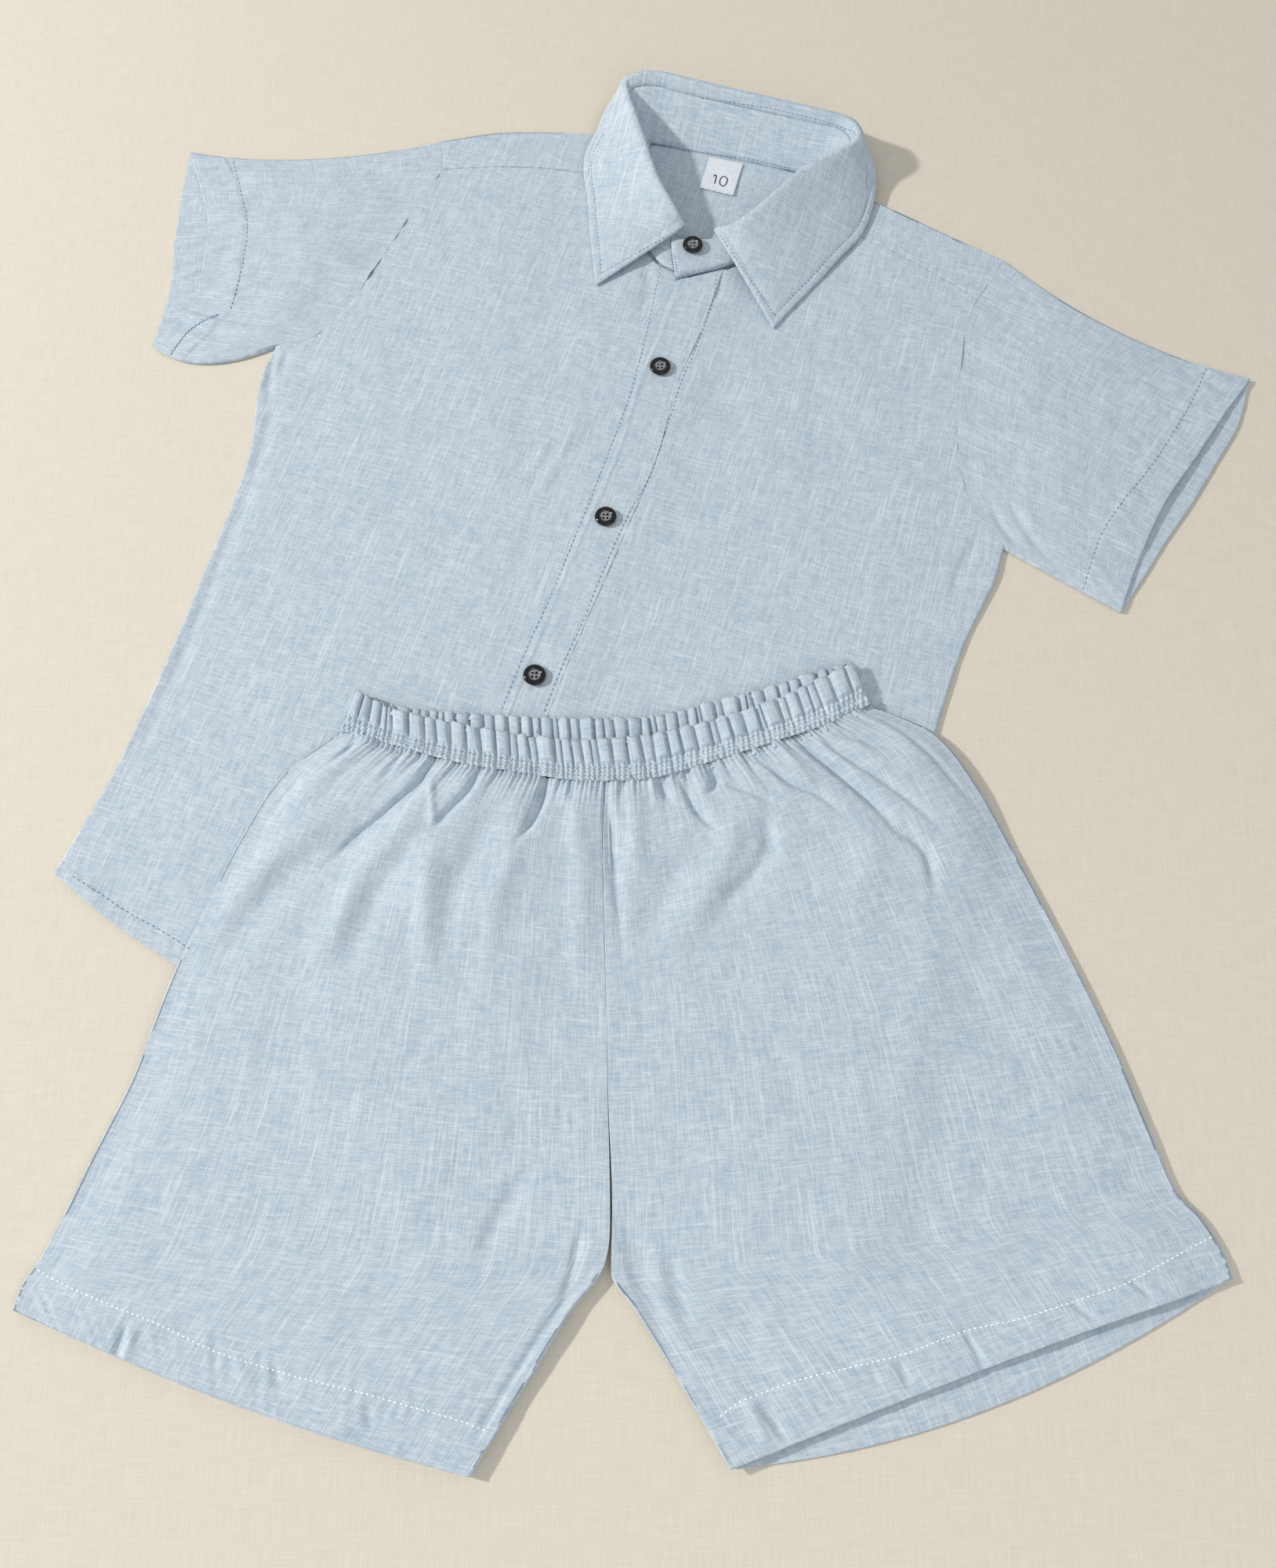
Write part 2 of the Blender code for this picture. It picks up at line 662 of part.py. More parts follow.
def shirt_frame(x, y):
    """A point of the set's frame, seen in the shirt's own frame."""
    across, up = x - SHIRT_AT[0], y - SHIRT_AT[1]
    turned_x = across * math.cos(SHIRT_TURN) - up * math.sin(SHIRT_TURN)
    turned_y = across * math.sin(SHIRT_TURN) + up * math.cos(SHIRT_TURN)
    return turned_x, turned_y


def support(x, y):
    """The height that the shorts' underside has: on the shirt, its placket and its last button."""
    sx, sy = shirt_frame(x, y)
    beyond_side = np.maximum(np.abs(sx - SHIRT_AXIS_X) - SHIRT_HALF_WIDTH, 0)
    beyond_hem = np.maximum(SHIRT_HEM_Y - sy, 0)
    beyond = np.hypot(beyond_side, beyond_hem)
    height = SHIRT_STACK * (1 - soft_step((beyond - EDGE_CLEAR) / EDGE_SLOPE))
    off_placket = np.hypot(np.maximum(np.abs(sx - PLACKET_AXIS_X) - PLACKET_HALF_WIDTH, 0), beyond_hem)
    height = height + LAYER * (1 - soft_step((off_placket - EDGE_CLEAR) / EDGE_SLOPE))
    button_x, button_y = BUTTON_PLACES[-1]
    off_button = np.hypot(sx - button_x, sy - button_y)
    return height + HIDDEN_BUTTON_RISE * (1 - soft_step((off_button - HIDDEN_BUTTON_CLEAR) / EDGE_SLOPE))


def fold_height(x, y):
    """The sum of the ridges and troughs of the shorts' front."""
    total = np.zeros_like(x)
    for fold in FOLDS:
        run_x, run_y = fold.x2 - fold.x1, fold.y2 - fold.y1
        length = math.hypot(run_x, run_y)
        t = ((x - fold.x1) * run_x + (y - fold.y1) * run_y) / length**2
        off = np.abs((x - fold.x1) * run_y - (y - fold.y1) * run_x) / length
        fade = soft_step((t + 0.2) / 0.4) * soft_step((1.15 - t) / 0.6)
        total += fold.height * fade * np.exp(-((off / fold.width) ** 2))
    return total


def front_clear(x, y, q):
    """How far the shorts' front lies above the back: least along the side seam, most in the middle."""
    waist = np.exp(np.minimum(y - 10, 0) / 45.0)
    body = soft_step(q / 0.12)
    loft = SHORTS_LOFT * (0.45 + waist) + fold_height(x, y)
    return GAP + body * np.maximum(loft, 0.0)


def waist_seam(x):
    """The seam between the shorts' legs and their waistband."""
    table = np.array(WAIST, float)
    return through(table[:, 0], table[:, 1], x)


def leg_grid(rows, cell):
    """A leg panel's points, its first row on the waist seam."""
    x, y = span_grid(rows, cell)
    y[0] = waist_seam(x[0]) - GAP
    return x, y


def make_leg(front_name, back_name, rows, back_hem_drop, side_first, cloth):
    """The front and back panels of one leg, the front lying on the back."""
    back_rows = list(rows)
    back_rows[-1] = rows[-1]._replace(bow=rows[-1].bow - back_hem_drop)
    x, y = leg_grid(back_rows, 26)
    lying_wall(back_name, x, y, support(x, y), CLOTH, cloth, shirt=False)
    x, y = leg_grid(rows, 15)
    q = np.linspace(0, 1, x.shape[1])[None, :] * np.ones_like(x)
    from_side = q if side_first else 1 - q
    low = support(x, y) + CLOTH + 0.5 + front_clear(x, y, from_side)
    lying_wall(front_name, x, y, low, FOLDED_CLOTH, cloth, shirt=False)


def make_waistband(name, top_column, waves, low, cloth):
    """One side of the elastic casing, gathered into even waves."""
    table = np.array(WAIST, float)
    columns = waves * COLUMNS_A_WAVE
    x = np.linspace(table[0, 0], table[-1, 0], columns + 1)
    seam = waist_seam(x) + GAP
    top = through(table[:, 0], table[:, top_column], x)
    lean = np.interp(x, (table[0, 0], table[-1, 0]), WAIST_LEAN)
    phase = 2 * math.pi * np.arange(columns + 1) / COLUMNS_A_WAVE
    wave = WAVE_RISE * np.sin(phase)
    rows_x = np.stack((x + lean, x + lean / 2, x))
    rows_y = np.stack((top, (top + seam) / 2, seam))
    rows_z = low(rows_x, rows_y) + np.stack((wave, wave * 1.1, wave * 0.8)) + WAVE_RISE * 1.1
    lying_wall(name, rows_x, rows_y, rows_z, FOLDED_CLOTH, cloth, shirt=False)


def make_shorts(cloth):
    make_leg("shorts_front_right", "shorts_back_right", RIGHT_LEG, RIGHT_BACK_HEM_DROP, True, cloth)
    make_leg("shorts_front_left", "shorts_back_left", LEFT_LEG, LEFT_BACK_HEM_DROP, False, cloth)
    make_waistband("waistband_back", 3, BACK_WAVES, support, cloth)

    def on_back_band(x, y):
        return support(x, y) + FOLDED_CLOTH + 2 * 1.1 * WAVE_RISE + GAP

    make_waistband("waistband_front", 2, FRONT_WAVES, on_back_band, cloth)


def main():
    for thing in list(bpy.data.objects):
        bpy.data.objects.remove(thing, do_unlink=True)
    cloth = cloth_material("light_blue_cloth", (0.45, 0.59, 0.74), 0.85)
    black = cloth_material("black_button", (0.02, 0.02, 0.022), 0.2)
    white = cloth_material("white_satin", (0.82, 0.84, 0.86), 0.5)
    make_back(cloth)
    make_yoke(cloth)
    make_fronts(cloth)
    make_placket(cloth)
    make_sleeve("sleeve_right", RIGHT_SLEEVE, 0, cloth)
    make_sleeve("sleeve_left", LEFT_SLEEVE, 1, cloth)
    make_stand(cloth)
    make_fall(cloth)
    make_label(white)
    make_buttons(black)
    make_shorts(cloth)


main()
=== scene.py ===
"""The light-blue set as it looks: fine cloth, seams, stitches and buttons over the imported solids.

Sizes are in millimetres until a mesh is made.  The set's frame has +X to the viewer's right and +Y up the
garments; the shirt's own frame has its top button as origin and +y up the centre front.  Right and left in
names are the wearer's.
"""

import math
from collections import namedtuple

import bpy
import numpy as np
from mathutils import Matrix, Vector
from mathutils.bvhtree import BVHTree


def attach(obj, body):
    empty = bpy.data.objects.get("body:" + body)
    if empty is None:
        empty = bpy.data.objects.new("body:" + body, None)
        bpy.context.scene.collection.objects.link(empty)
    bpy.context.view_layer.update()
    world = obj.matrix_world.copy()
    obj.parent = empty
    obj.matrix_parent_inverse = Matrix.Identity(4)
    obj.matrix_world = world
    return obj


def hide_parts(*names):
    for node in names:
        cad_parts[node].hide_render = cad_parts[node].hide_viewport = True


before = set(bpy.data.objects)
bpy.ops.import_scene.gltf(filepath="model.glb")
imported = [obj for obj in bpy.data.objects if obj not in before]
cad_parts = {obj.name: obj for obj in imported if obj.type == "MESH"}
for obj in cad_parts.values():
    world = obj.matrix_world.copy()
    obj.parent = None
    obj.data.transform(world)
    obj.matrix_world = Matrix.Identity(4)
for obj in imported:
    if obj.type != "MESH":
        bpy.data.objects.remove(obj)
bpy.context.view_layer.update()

MM = 0.001
TINY = 1e-9
FAR = 1e9

# Places of the solids; the right front goes on under the placket here
SET_MIDDLE = (31.9, 79.2)
SHIRT_TURN = math.radians(17.1)
SHIRT_AT = (33.0, 346.0)
CLOTH = 1.1
GAP = 0.3
LAYER = CLOTH + GAP
FOLDED_CLOTH = 1.3

Span = namedtuple("Span", "left_x left_y right_x right_y bow")
RIGHT_FRONT = (
    Span(-170, 19, -52, 45, 6),
    Span(-176, -17, -44, 14, 2),
    Span(-180, -42, -20, -12, 0),
    Span(-184, -68, 2, -19, 0),
    Span(-188, -96, 14, -48, 0),
    Span(-204, -130, 13, -104, 0),
    Span(-220, -139, 13, -140, 0),
    Span(-220, -154, 13, -160, 0),
    Span(-206, -211, 13, -222, -2),
    Span(-198, -319, 13, -325, -4),
    Span(-196, -396, 13, -415, -8),
    Span(-202, -476, 13, -501, -17),
)
LEFT_FRONT = (
    Span(54, 50, 176, 19, 6),
    Span(50, 26, 174, -4, 2),
    Span(38, 7, 176, -24, 0),
    Span(23, -8, 181, -58, 0),
    Span(21, -60, 190, -97, 0),
    Span(20, -112, 205, -125, 0),
    Span(21, -146, 226, -146, 0),
    Span(21, -162, 226, -158, 0),
    Span(19, -205, 218, -208, -2),
    Span(13, -318, 212, -300, -4),
    Span(13, -415, 205, -396, -8),
    Span(13, -500, 200, -475, -15),
)
BACK = (
    Span(-176, -12.5, 176, -12.5, 0),
    Span(-180, -42, 179, -42, 0),
    Span(-188, -96, 190, -97, 0),
    Span(-204, -130, 205, -125, 0),
    Span(-220, -139, 226, -146, 0),
    Span(-220, -154, 226, -158, 0),
    Span(-206, -211, 218, -208, 0),
    Span(-198, -319, 212, -300, -6),
    Span(-196, -396, 205, -396, -14),
    Span(-202, -475, 200, -475, -27),
)
PLACKET = (
    Span(-3, -22, 22, -5, 0),
    Span(-3, -59, 22, -48, 0),
    Span(-5, -97, 19, -92, 0),
    Span(-3, -148, 22, -146, 0),
    Span(-6, -208, 19, -205, 0),
    Span(-10, -324, 13, -318, 0),
    Span(-10, -415, 13, -412, 0),
    Span(-10, -500, 13, -500, 0),
)
Shoulder = namedtuple("Shoulder", "x y")
RIGHT_SHOULDER = (Shoulder(-179, 41), Shoulder(-144, 59), Shoulder(-98, 73), Shoulder(-50, 80))
LEFT_SHOULDER = (Shoulder(52, 84), Shoulder(102, 74), Shoulder(142, 64), Shoulder(186, 53))
YOKE_BACK = Span(-176, -12, 176, -12, 0)

SleeveRow = namedtuple("SleeveRow", "front_x front_y back_x back_y")
RIGHT_SLEEVE = (
    SleeveRow(-330, -15, -330, -15),
    SleeveRow(-310, -42, -321, -50),
    SleeveRow(-295, -65, -310, -85),
    SleeveRow(-286, -91, -299, -115),
    SleeveRow(-279, -122, -294, -140),
    SleeveRow(-291, -160, -291, -160),
)
LEFT_SLEEVE = (
    SleeveRow(343, 10, 343, 10),
    SleeveRow(331, -22, 341, -24),
    SleeveRow(319, -58, 332, -56),
    SleeveRow(309, -86, 323, -86),
    SleeveRow(303, -112, 313, -114),
    SleeveRow(299, -138, 305, -140),
    SleeveRow(296, -166, 296, -166),
)
SLEEVE_LOFT = 3.5
SLEEVE_FOLD_SAG = (-11, -11)
SLEEVE_UNDER_SAG = (-13, 0)

Station = namedtuple("Station", "neck top edge seam", defaults=(None,))
COLLAR = (
    Station((3, -16, 3.7), (1, 9, 3.9), None),
    Station((-15, -12, 3.7), (-8, 13, 11), (-49, -40, 3.6), (-10, 8, 5.3)),
    Station((-28, -2, 3.7), (-15, 18, 16), (-59, -16, 3.6), (-19, 9.5, 9.4)),
    Station((-37, 8, 3.7), (-20.5, 23, 18.5), (-67, 3, 3.6), (-26.5, 16.5, 13)),
    Station((-45, 20, 3.7), (-28.5, 30.5, 20.5), (-75, 24, 3.7)),
    Station((-52, 36, 3.8), (-40, 46, 22), (-83, 42, 4)),
    Station((-56, 52, 3.8), (-50, 62, 22.5), (-86.5, 58, 4.5)),
    Station((-57, 68, 3.8), (-62, 80.5, 23.5), (-85, 75, 5.5)),
    Station((-53, 78, 3.6), (-73.5, 101, 25), (-84, 97, 6)),
    Station((-45, 80, 3), (-65, 107.5, 26.5), (-74, 116, 6)),
    Station((-30, 81, 2.4), (-36, 109.5, 27), (-42, 130, 4)),
    Station((0, 83, 2.1), (4, 109.5, 27), (3, 132, 3.5)),
    Station((30, 84, 2.4), (45, 109.5, 27), (48, 132, 3.5)),
    Station((42, 84, 2.8), (61, 109.5, 26.8), (64, 127, 5)),
    Station((52, 81, 3.2), (73, 107.5, 26.3), (79, 116, 6)),
    Station((59, 74, 3.5), (78, 101, 25.4), (91, 99, 6)),
    Station((62, 54, 3.8), (60, 78, 23), (98, 60, 4)),
    Station((58, 42, 3.8), (49, 63, 22.5), (96, 44, 3.8)),
    Station((52, 31, 3.9), (39.5, 45, 21.5), (88, 24, 3.6)),
    Station((45, 20, 4.1), (30.5, 29, 20), (80, 3, 3.6)),
    Station((36, 10, 4.6), (20.5, 17, 17.5), (71, -18, 3.6)),
    Station((25, -1, 5.6), (10.5, 14, 13), (62.5, -39, 3.6), (14, 13, 8.0)),
    Station((-4, -21, 6.9), (-14, 3, 7.7), None),
)
SEAM_DROP = 0.3
ROLL_RADIUS = 1.6
ROLL_TURNS = range(170, 10, -20)
COLLAR_CLOTH = 1.2

BUTTON_PLACES = ((0, 2), (6, -87), (6, -194), (-1, -299), (-5, -399))
BUTTON_ACROSS = 12.4
BUTTON_PROFILE = (
    (0.0, 1.5), (2.3, 1.5), (3.0, 1.65), (3.7, 2.3), (4.4, 2.6), (5.1, 2.6), (5.7, 2.3), (6.05, 1.85),
    (BUTTON_ACROSS / 2, 1.4),
)
BUTTON_SIDES = 96
BUTTON_HOLE_OFF = 1.55
BUTTON_GREY = (0.0029, 0.0035)
STAND_TOP = 7.6
LABEL = (Span(-11, 79, 11, 80, 0), Span(-10, 53, 12, 53, 0))

RIGHT_LEG = (
    Span(-159, 27, -17.3, -2, -8),
    Span(-185, 5, -18.3, -30, -6),
    Span(-206, -34, -17.3, -65, -5),
    Span(-220, -71, -16.3, -100, -4),
    Span(-230, -98, -15.3, -125, -4),
    Span(-243, -145, -14.3, -165, -4),
    Span(-260, -189, -13.0, -214, -5),
    Span(-270, -216, -17.0, -241, -6),
    Span(-277, -233, -30, -257, -6),
    Span(-284, -245, -47, -283, -5),
    Span(-287, -257, -74, -325, -4),
)
LEFT_LEG = (
    Span(-16.8, -2, 126, 42, -6),
    Span(-17.8, -30, 157, 27, -6),
    Span(-16.8, -65, 178, -3, -5),
    Span(-15.8, -100, 199, -49, -4),
    Span(-14.8, -125, 219, -98, -4),
    Span(-13.7, -165, 233, -136, -4),
    Span(-11.6, -214, 246, -178, -4),
    Span(-12.0, -241, 255, -206, -3),
    Span(-1, -257, 264, -216, -2),
    Span(15, -281, 271, -229, -1),
    Span(41, -322, 275, -244, 2),
)
RIGHT_BACK_HEM_DROP = 2
LEFT_BACK_HEM_DROP = 17

Waist = namedtuple("Waist", "x seam_y front_y back_y")
WAIST = (
    Waist(-158, 28, 50, 50),
    Waist(-125, 17, 38, 42),
    Waist(-93, 7, 30, 38),
    Waist(-60, 2, 24, 36),
    Waist(-26, -2, 21, 35),
    Waist(8, 0, 24, 36),
    Waist(42, 10, 32, 44),
    Waist(75, 21, 43, 53),
    Waist(102, 31, 55, 62),
    Waist(124, 43, 67, 68),
)
WAIST_LEAN = ((-158, 7), (-128, -2), (0, -4), (124, -8))
FRONT_WAVES = 43
BACK_WAVES = 48
WAVE_RISE = 1.2
GATHER_PITCH = 2.7
SHORTS_LOFT = 4.4
CROTCH_Y = -241
UPPER_SEAM_Y = -90
LEG_GATHERED_WIDTH = 142
LEG_WIDTH = 240
LEG_HEM_WIDTH = 250
SIDE_SHARE = 0.12
INSIDE = 0.5

SHIRT_STACK = 2 * LAYER
SHIRT_HALF_WIDTH = 210
SHIRT_AXIS_X = 4
SHIRT_HEM_Y = -515
EDGE_CLEAR = 20
EDGE_SLOPE = 32
PLACKET_AXIS_X = 4
PLACKET_HALF_WIDTH = 17
HIDDEN_BUTTON_RISE = 3.2
HIDDEN_BUTTON_CLEAR = 26

# Colours
CLOTH_BLUE = (0.365, 0.465, 0.56, 1.0)
CLOTH_PALE = (0.615, 0.685, 0.735, 1.0)
CLOTH_WHITE = (0.82, 0.85, 0.87, 1.0)
SATIN_SHADE = (0.66, 0.71, 0.76, 1.0)
SATIN_LIGHT = (0.84, 0.88, 0.92, 1.0)
# Black of the button's rim, and in its holes also painted shade
BUTTON_BLACK_AND_HOLE_SHADE = (0.003, 0.003, 0.004, 1.0)
BUTTON_DARK_GREY = (0.13, 0.135, 0.14, 1.0)
BUTTON_LIGHT_GREY = (0.30, 0.31, 0.33, 1.0)
# Blue thread, darker than its own blue: painted shade of the needle holes and dimples that the stitches sink
# into
THREAD_BLUE_AND_HOLE_SHADE = (0.18, 0.28, 0.40, 1.0)
THREAD_PALE = (0.94, 0.96, 0.97, 1.0)
THREAD_DARK = (0.03, 0.04, 0.07, 1.0)
FLOOR_SHADE = (0.68, 0.625, 0.525, 1.0)
FLOOR_LIGHT = (0.74, 0.685, 0.58, 1.0)

# Cells, hems and rolled edges of the lying cloth
FRONT_CELL = 2.0
FRONT_WIDTH = 200
BACK_CELL = 4.5
PLACKET_CELL = 1.1
LABEL_CELL = 0.7
LEG_CELL = 1.25
SLEEVE_ROWS = 105
SLEEVE_ROUND = 170
SLEEVE_HEM_TURN = 24
SEAM_ROLL = 0.5
CENTRE_ROLL = 0.25
YOKE_ROLL = 0.75
BACK_INSET = 1.2
SIDE_ROLL = 1.25
HEM_ROLL = 0.65
HEM_TURN = 8.0
SHORTS_HEM_TURN = 19.0
LEAF_STITCH = 4.5
NECK_TUCK = 1.1
FALL_CROWN = 1.0
FALL_FOOT = 0.9
LEAF_ROWS = 60
PINCH_ROWS = (0.58, 0.79, 1.0)
BAND_COLUMNS = 16
BAND_ROWS = 56
PLACKET_WIDTH = 24.0
PLACKET_FOLD = 2.6
PLACKET_GROOVES = (0.8, 4.2, PLACKET_WIDTH - 1.6)

# Stage, camera and light; the floor and the fill lamp are in metres
FLOOR_HALF = 2.4
FLOOR_DROP = 0.0002
WINDOW_STRENGTH = 2.35
WINDOW_COLOUR = (1.0, 0.97, 0.93)
ROOM_COLOUR = (0.95, 0.97, 1.0, 1.0)
ROOM_STRENGTH = 0.535
CAMERA_TILT = math.radians(19.7)
CAMERA_REACH = 674.0
PHOTO_FOCUS = 1628.0
PHOTO_LONG_SIDE = 2000.0
SENSOR = 36.0
WINDOW_FROM = (-1.5, 0.2, 1.0)
WINDOW_REACH = 2800.0
WINDOW_ACROSS = 180.0
FILL_AT = (0.3, -0.9, 0.9)
FILL_POWER = 2.5
FILL_ACROSS = 0.8

# Creases: a path of places, its half width on its left and on its right, and its height
Crease = namedtuple("Crease", "path left right height")
SHORTS_CREASES = (
    Crease(((-105, 12), (-114, -4), (-124, -13), (-132, -21), (-147, -34), (-160, -48)), 2.6, 1.8, -4.2),
    Crease(((-105, 12), (-124, -13), (-147, -34), (-164, -52)), 7, 5, -1.8),
    Crease(((-82, 3), (-88, -9), (-98, -20), (-106, -32)), 2.2, 1.6, -2.6),
    Crease(((-107, -2), (-106, -15), (-104, -30)), 1.8, 1.8, 1.4),
    Crease(((-47, 0), (-51, -16), (-55, -25), (-63, -38)), 2.0, 1.8, -4.0),
    Crease(((-47, 0), (-52, -16), (-60, -34)), 5, 4, -1.4),
    Crease(((-147, 27), (-153, 15), (-163, 6)), 2.0, 2.0, -2.6),
    Crease(((-121, 17), (-129, 4), (-136, -4)), 2.0, 2.0, -2.2),
    Crease(((-150, -14), (-180, -39), (-200, -58), (-218, -84)), 9, 9, 2.4),
    Crease(((-160, -36), (-186, -62), (-202, -86), (-216, -114)), 9, 9, -2.2),
    Crease(((-120, -28), (-140, -53), (-150, -79), (-162, -106)), 8, 7, 2.4),
    Crease(((-110, -30), (-127, -53), (-140, -82), (-150, -106)), 7, 7, -2.0),
    Crease(((-104, -34), (-107, -58), (-106, -86), (-104, -110)), 7, 6, 2.2),
    Crease(((-72, -14), (-85, -44), (-93, -65), (-96, -102)), 7, 7, -2.0),
    Crease(((-60, -34), (-71, -65), (-74, -104)), 6, 6, 1.6),
    Crease(((-34, -8), (-28, -58), (-29, -110)), 7, 6, 1.8),
    Crease(((-35, 0), (-34, -14)), 2, 2, -1.8),
    Crease(((-16, -5), (-13, -37), (-10, -67), (-7, -100)), 2.6, 2.6, -2.0),
    Crease(((-2, -3), (-1, -30), (0, -60)), 6, 6, 1.8),
    Crease(((10, -1), (17, -14)), 2.0, 2.0, -2.0),
    Crease(((23, 1), (27, -12), (33, -21), (45, -32)), 2.0, 2.0, -2.8),
    Crease(((38, 6), (40, -3), (34, -11)), 2.0, 2.0, -2.4),
    Crease(((40, -1), (54, -6), (63, -10), (77, -16)), 1.8, 2.0, -2.4),
    Crease(((66, -18), (67, -35), (58, -53), (48, -62), (38, -78)), 5, 4, -2.4),
    Crease(((54, -16), (45, -42), (33, -65), (14, -98)), 8, 8, 2.4),
    Crease(((26, -40), (12, -66), (0, -90)), 6, 7, -1.4),
    Crease(((57, 15), (68, 6), (80, -3), (95, -10), (109, -23)), 2.0, 2.0, -2.8),
    Crease(((80, 23), (93, 12), (103, 4), (113, -5), (124, -16), (136, -32)), 2.2, 2.0, -4.4),
    Crease(((80, 23), (103, 4), (124, -16), (138, -34)), 5, 7, -1.6),
    Crease(((130, -26), (145, -37), (149, -48), (150, -66)), 3.5, 2.5, -2.4),
    Crease(((92, 27), (102, 17), (114, 8), (130, -3), (145, -16), (158, -30)), 2.2, 2.2, -2.8),
    Crease(((102, 27), (114, 21), (130, 18), (141, 18)), 1.8, 1.8, -2.0),
    Crease(((132, 32), (144, 23), (155, 12), (168, -5), (179, -19), (193, -40)), 1.8, 1.8, -2.4),
    Crease(((118, -16), (117, -53), (99, -76)), 12, 12, 1.8),
    Crease(((-53, -196), (-77, -238)), 5, 4, -1.6),
    Crease(((-5, -217), (5, -248)), 4, 4, -1.6),
    Crease(((13, -231), (24, -268)), 4, 4, -1.6),
    Crease(((57, -260), (78, -262), (100, -258)), 5, 7, -1.2),
    Crease(((-233, -262), (-238, -284)), 2.2, 1.8, -2.4),
    Crease(((-229, -262), (-233, -287)), 2.4, 2.4, 1.4),
    Crease(((-266, -230), (-275, -246)), 3.0, 3.0, -1.6),
    Crease(((224, -243), (230, -247), (237, -253)), 1.5, 1.2, -1.5),
    Crease(((199, -254), (204, -258), (209, -262)), 1.5, 1.2, -1.5),
    Crease(((148, -266), (153, -275), (156, -284)), 1.8, 1.4, -1.5),
    Crease(((118, -277), (122, -291)), 2.0, 2.0, -1.2),
    Crease(((104, -281), (108, -288)), 1.6, 1.4, -1.2),
    Crease(((54, -296), (61, -303), (65, -311)), 2.2, 1.8, -1.8),
    Crease(((48, -296), (54, -304), (57, -314)), 3.0, 2.6, 1.6),
    Crease(((-164, -280), (-159, -295)), 2.0, 1.8, -1.5),
    Crease(((-122, -294), (-118, -308)), 2.0, 1.6, -1.3),
    Crease(((-181, -276), (-176, -290)), 2.6, 2.2, 1.2),
    Crease(((-132, -308), (-101, -314), (-78, -317)), 1.4, 1.4, -1.2),
    Crease(((-9, -222), (6, -257), (20, -288)), 5.0, 4.0, -1.5),
    Crease(((-27, -222), (-30, -240), (-37, -258)), 2.6, 2.0, -2.4),
    Crease(((-22, -240), (-42, -265), (-63, -296), (-72, -310)), 1.6, 2.2, -1.6),
    Crease(((-164, 17), (-183, -8), (-200, -38), (-213, -72)), 1.6, 2.0, -1.4),
)
SHIRT_CREASES = (
    Crease(((-29, -140), (-33, -168), (-36, -196)), 3, 3, 0.9),
    Crease(((-41, -150), (-45, -180)), 3, 3, 0.8),
    Crease(((-26, -14), (-17, -36), (-19, -56)), 5, 4, -1.4),
    Crease(((18, -6), (23, -18), (24, -38)), 2.2, 1.6, -1.0),
    Crease(((-213, -160), (-199, -211), (-191, -319), (-189, -396), (-194, -480)), 4.0, 2.5, -0.9),
    Crease(((-220, -137), (-218, -150)), 1.8, 1.8, -1.6),
    Crease(((-217, -150), (-210, -176)), 2.0, 2.0, -1.6),
    Crease(((-211, -140), (-208, -164)), 1.8, 1.8, -1.3),
    Crease(((206, -98), (214, -119), (222, -134)), 2.5, 2.0, -1.2),
    Crease(((212, -140), (206, -164), (204, -190)), 3.0, 3.0, -1.2),
)
RIGHT_SLEEVE_CREASES = (
    Crease(((-292, -132), (-280, -133), (-262, -134), (-240, -132), (-218, -126)), 1.6, 5, 1.9),
    Crease(((-292, -129), (-262, -130), (-240, -128)), 1.6, 1.6, -1.2),
    Crease(((-292, -138), (-266, -141), (-236, -140)), 4, 4, -1.4),
)
LEFT_SLEEVE_CREASES = (
    Crease(((306, 6), (262, -20), (216, -64)), 13, 12, -1.8),
    Crease(((285, 12), (240, -12), (204, -50)), 12, 12, 1.6),
    Crease(((224, -118), (236, -132), (252, -146)), 2.5, 2.5, -1.2),
    Crease(((214, -122), (224, -134), (236, -143)), 2.2, 2.2, -1.0),
)

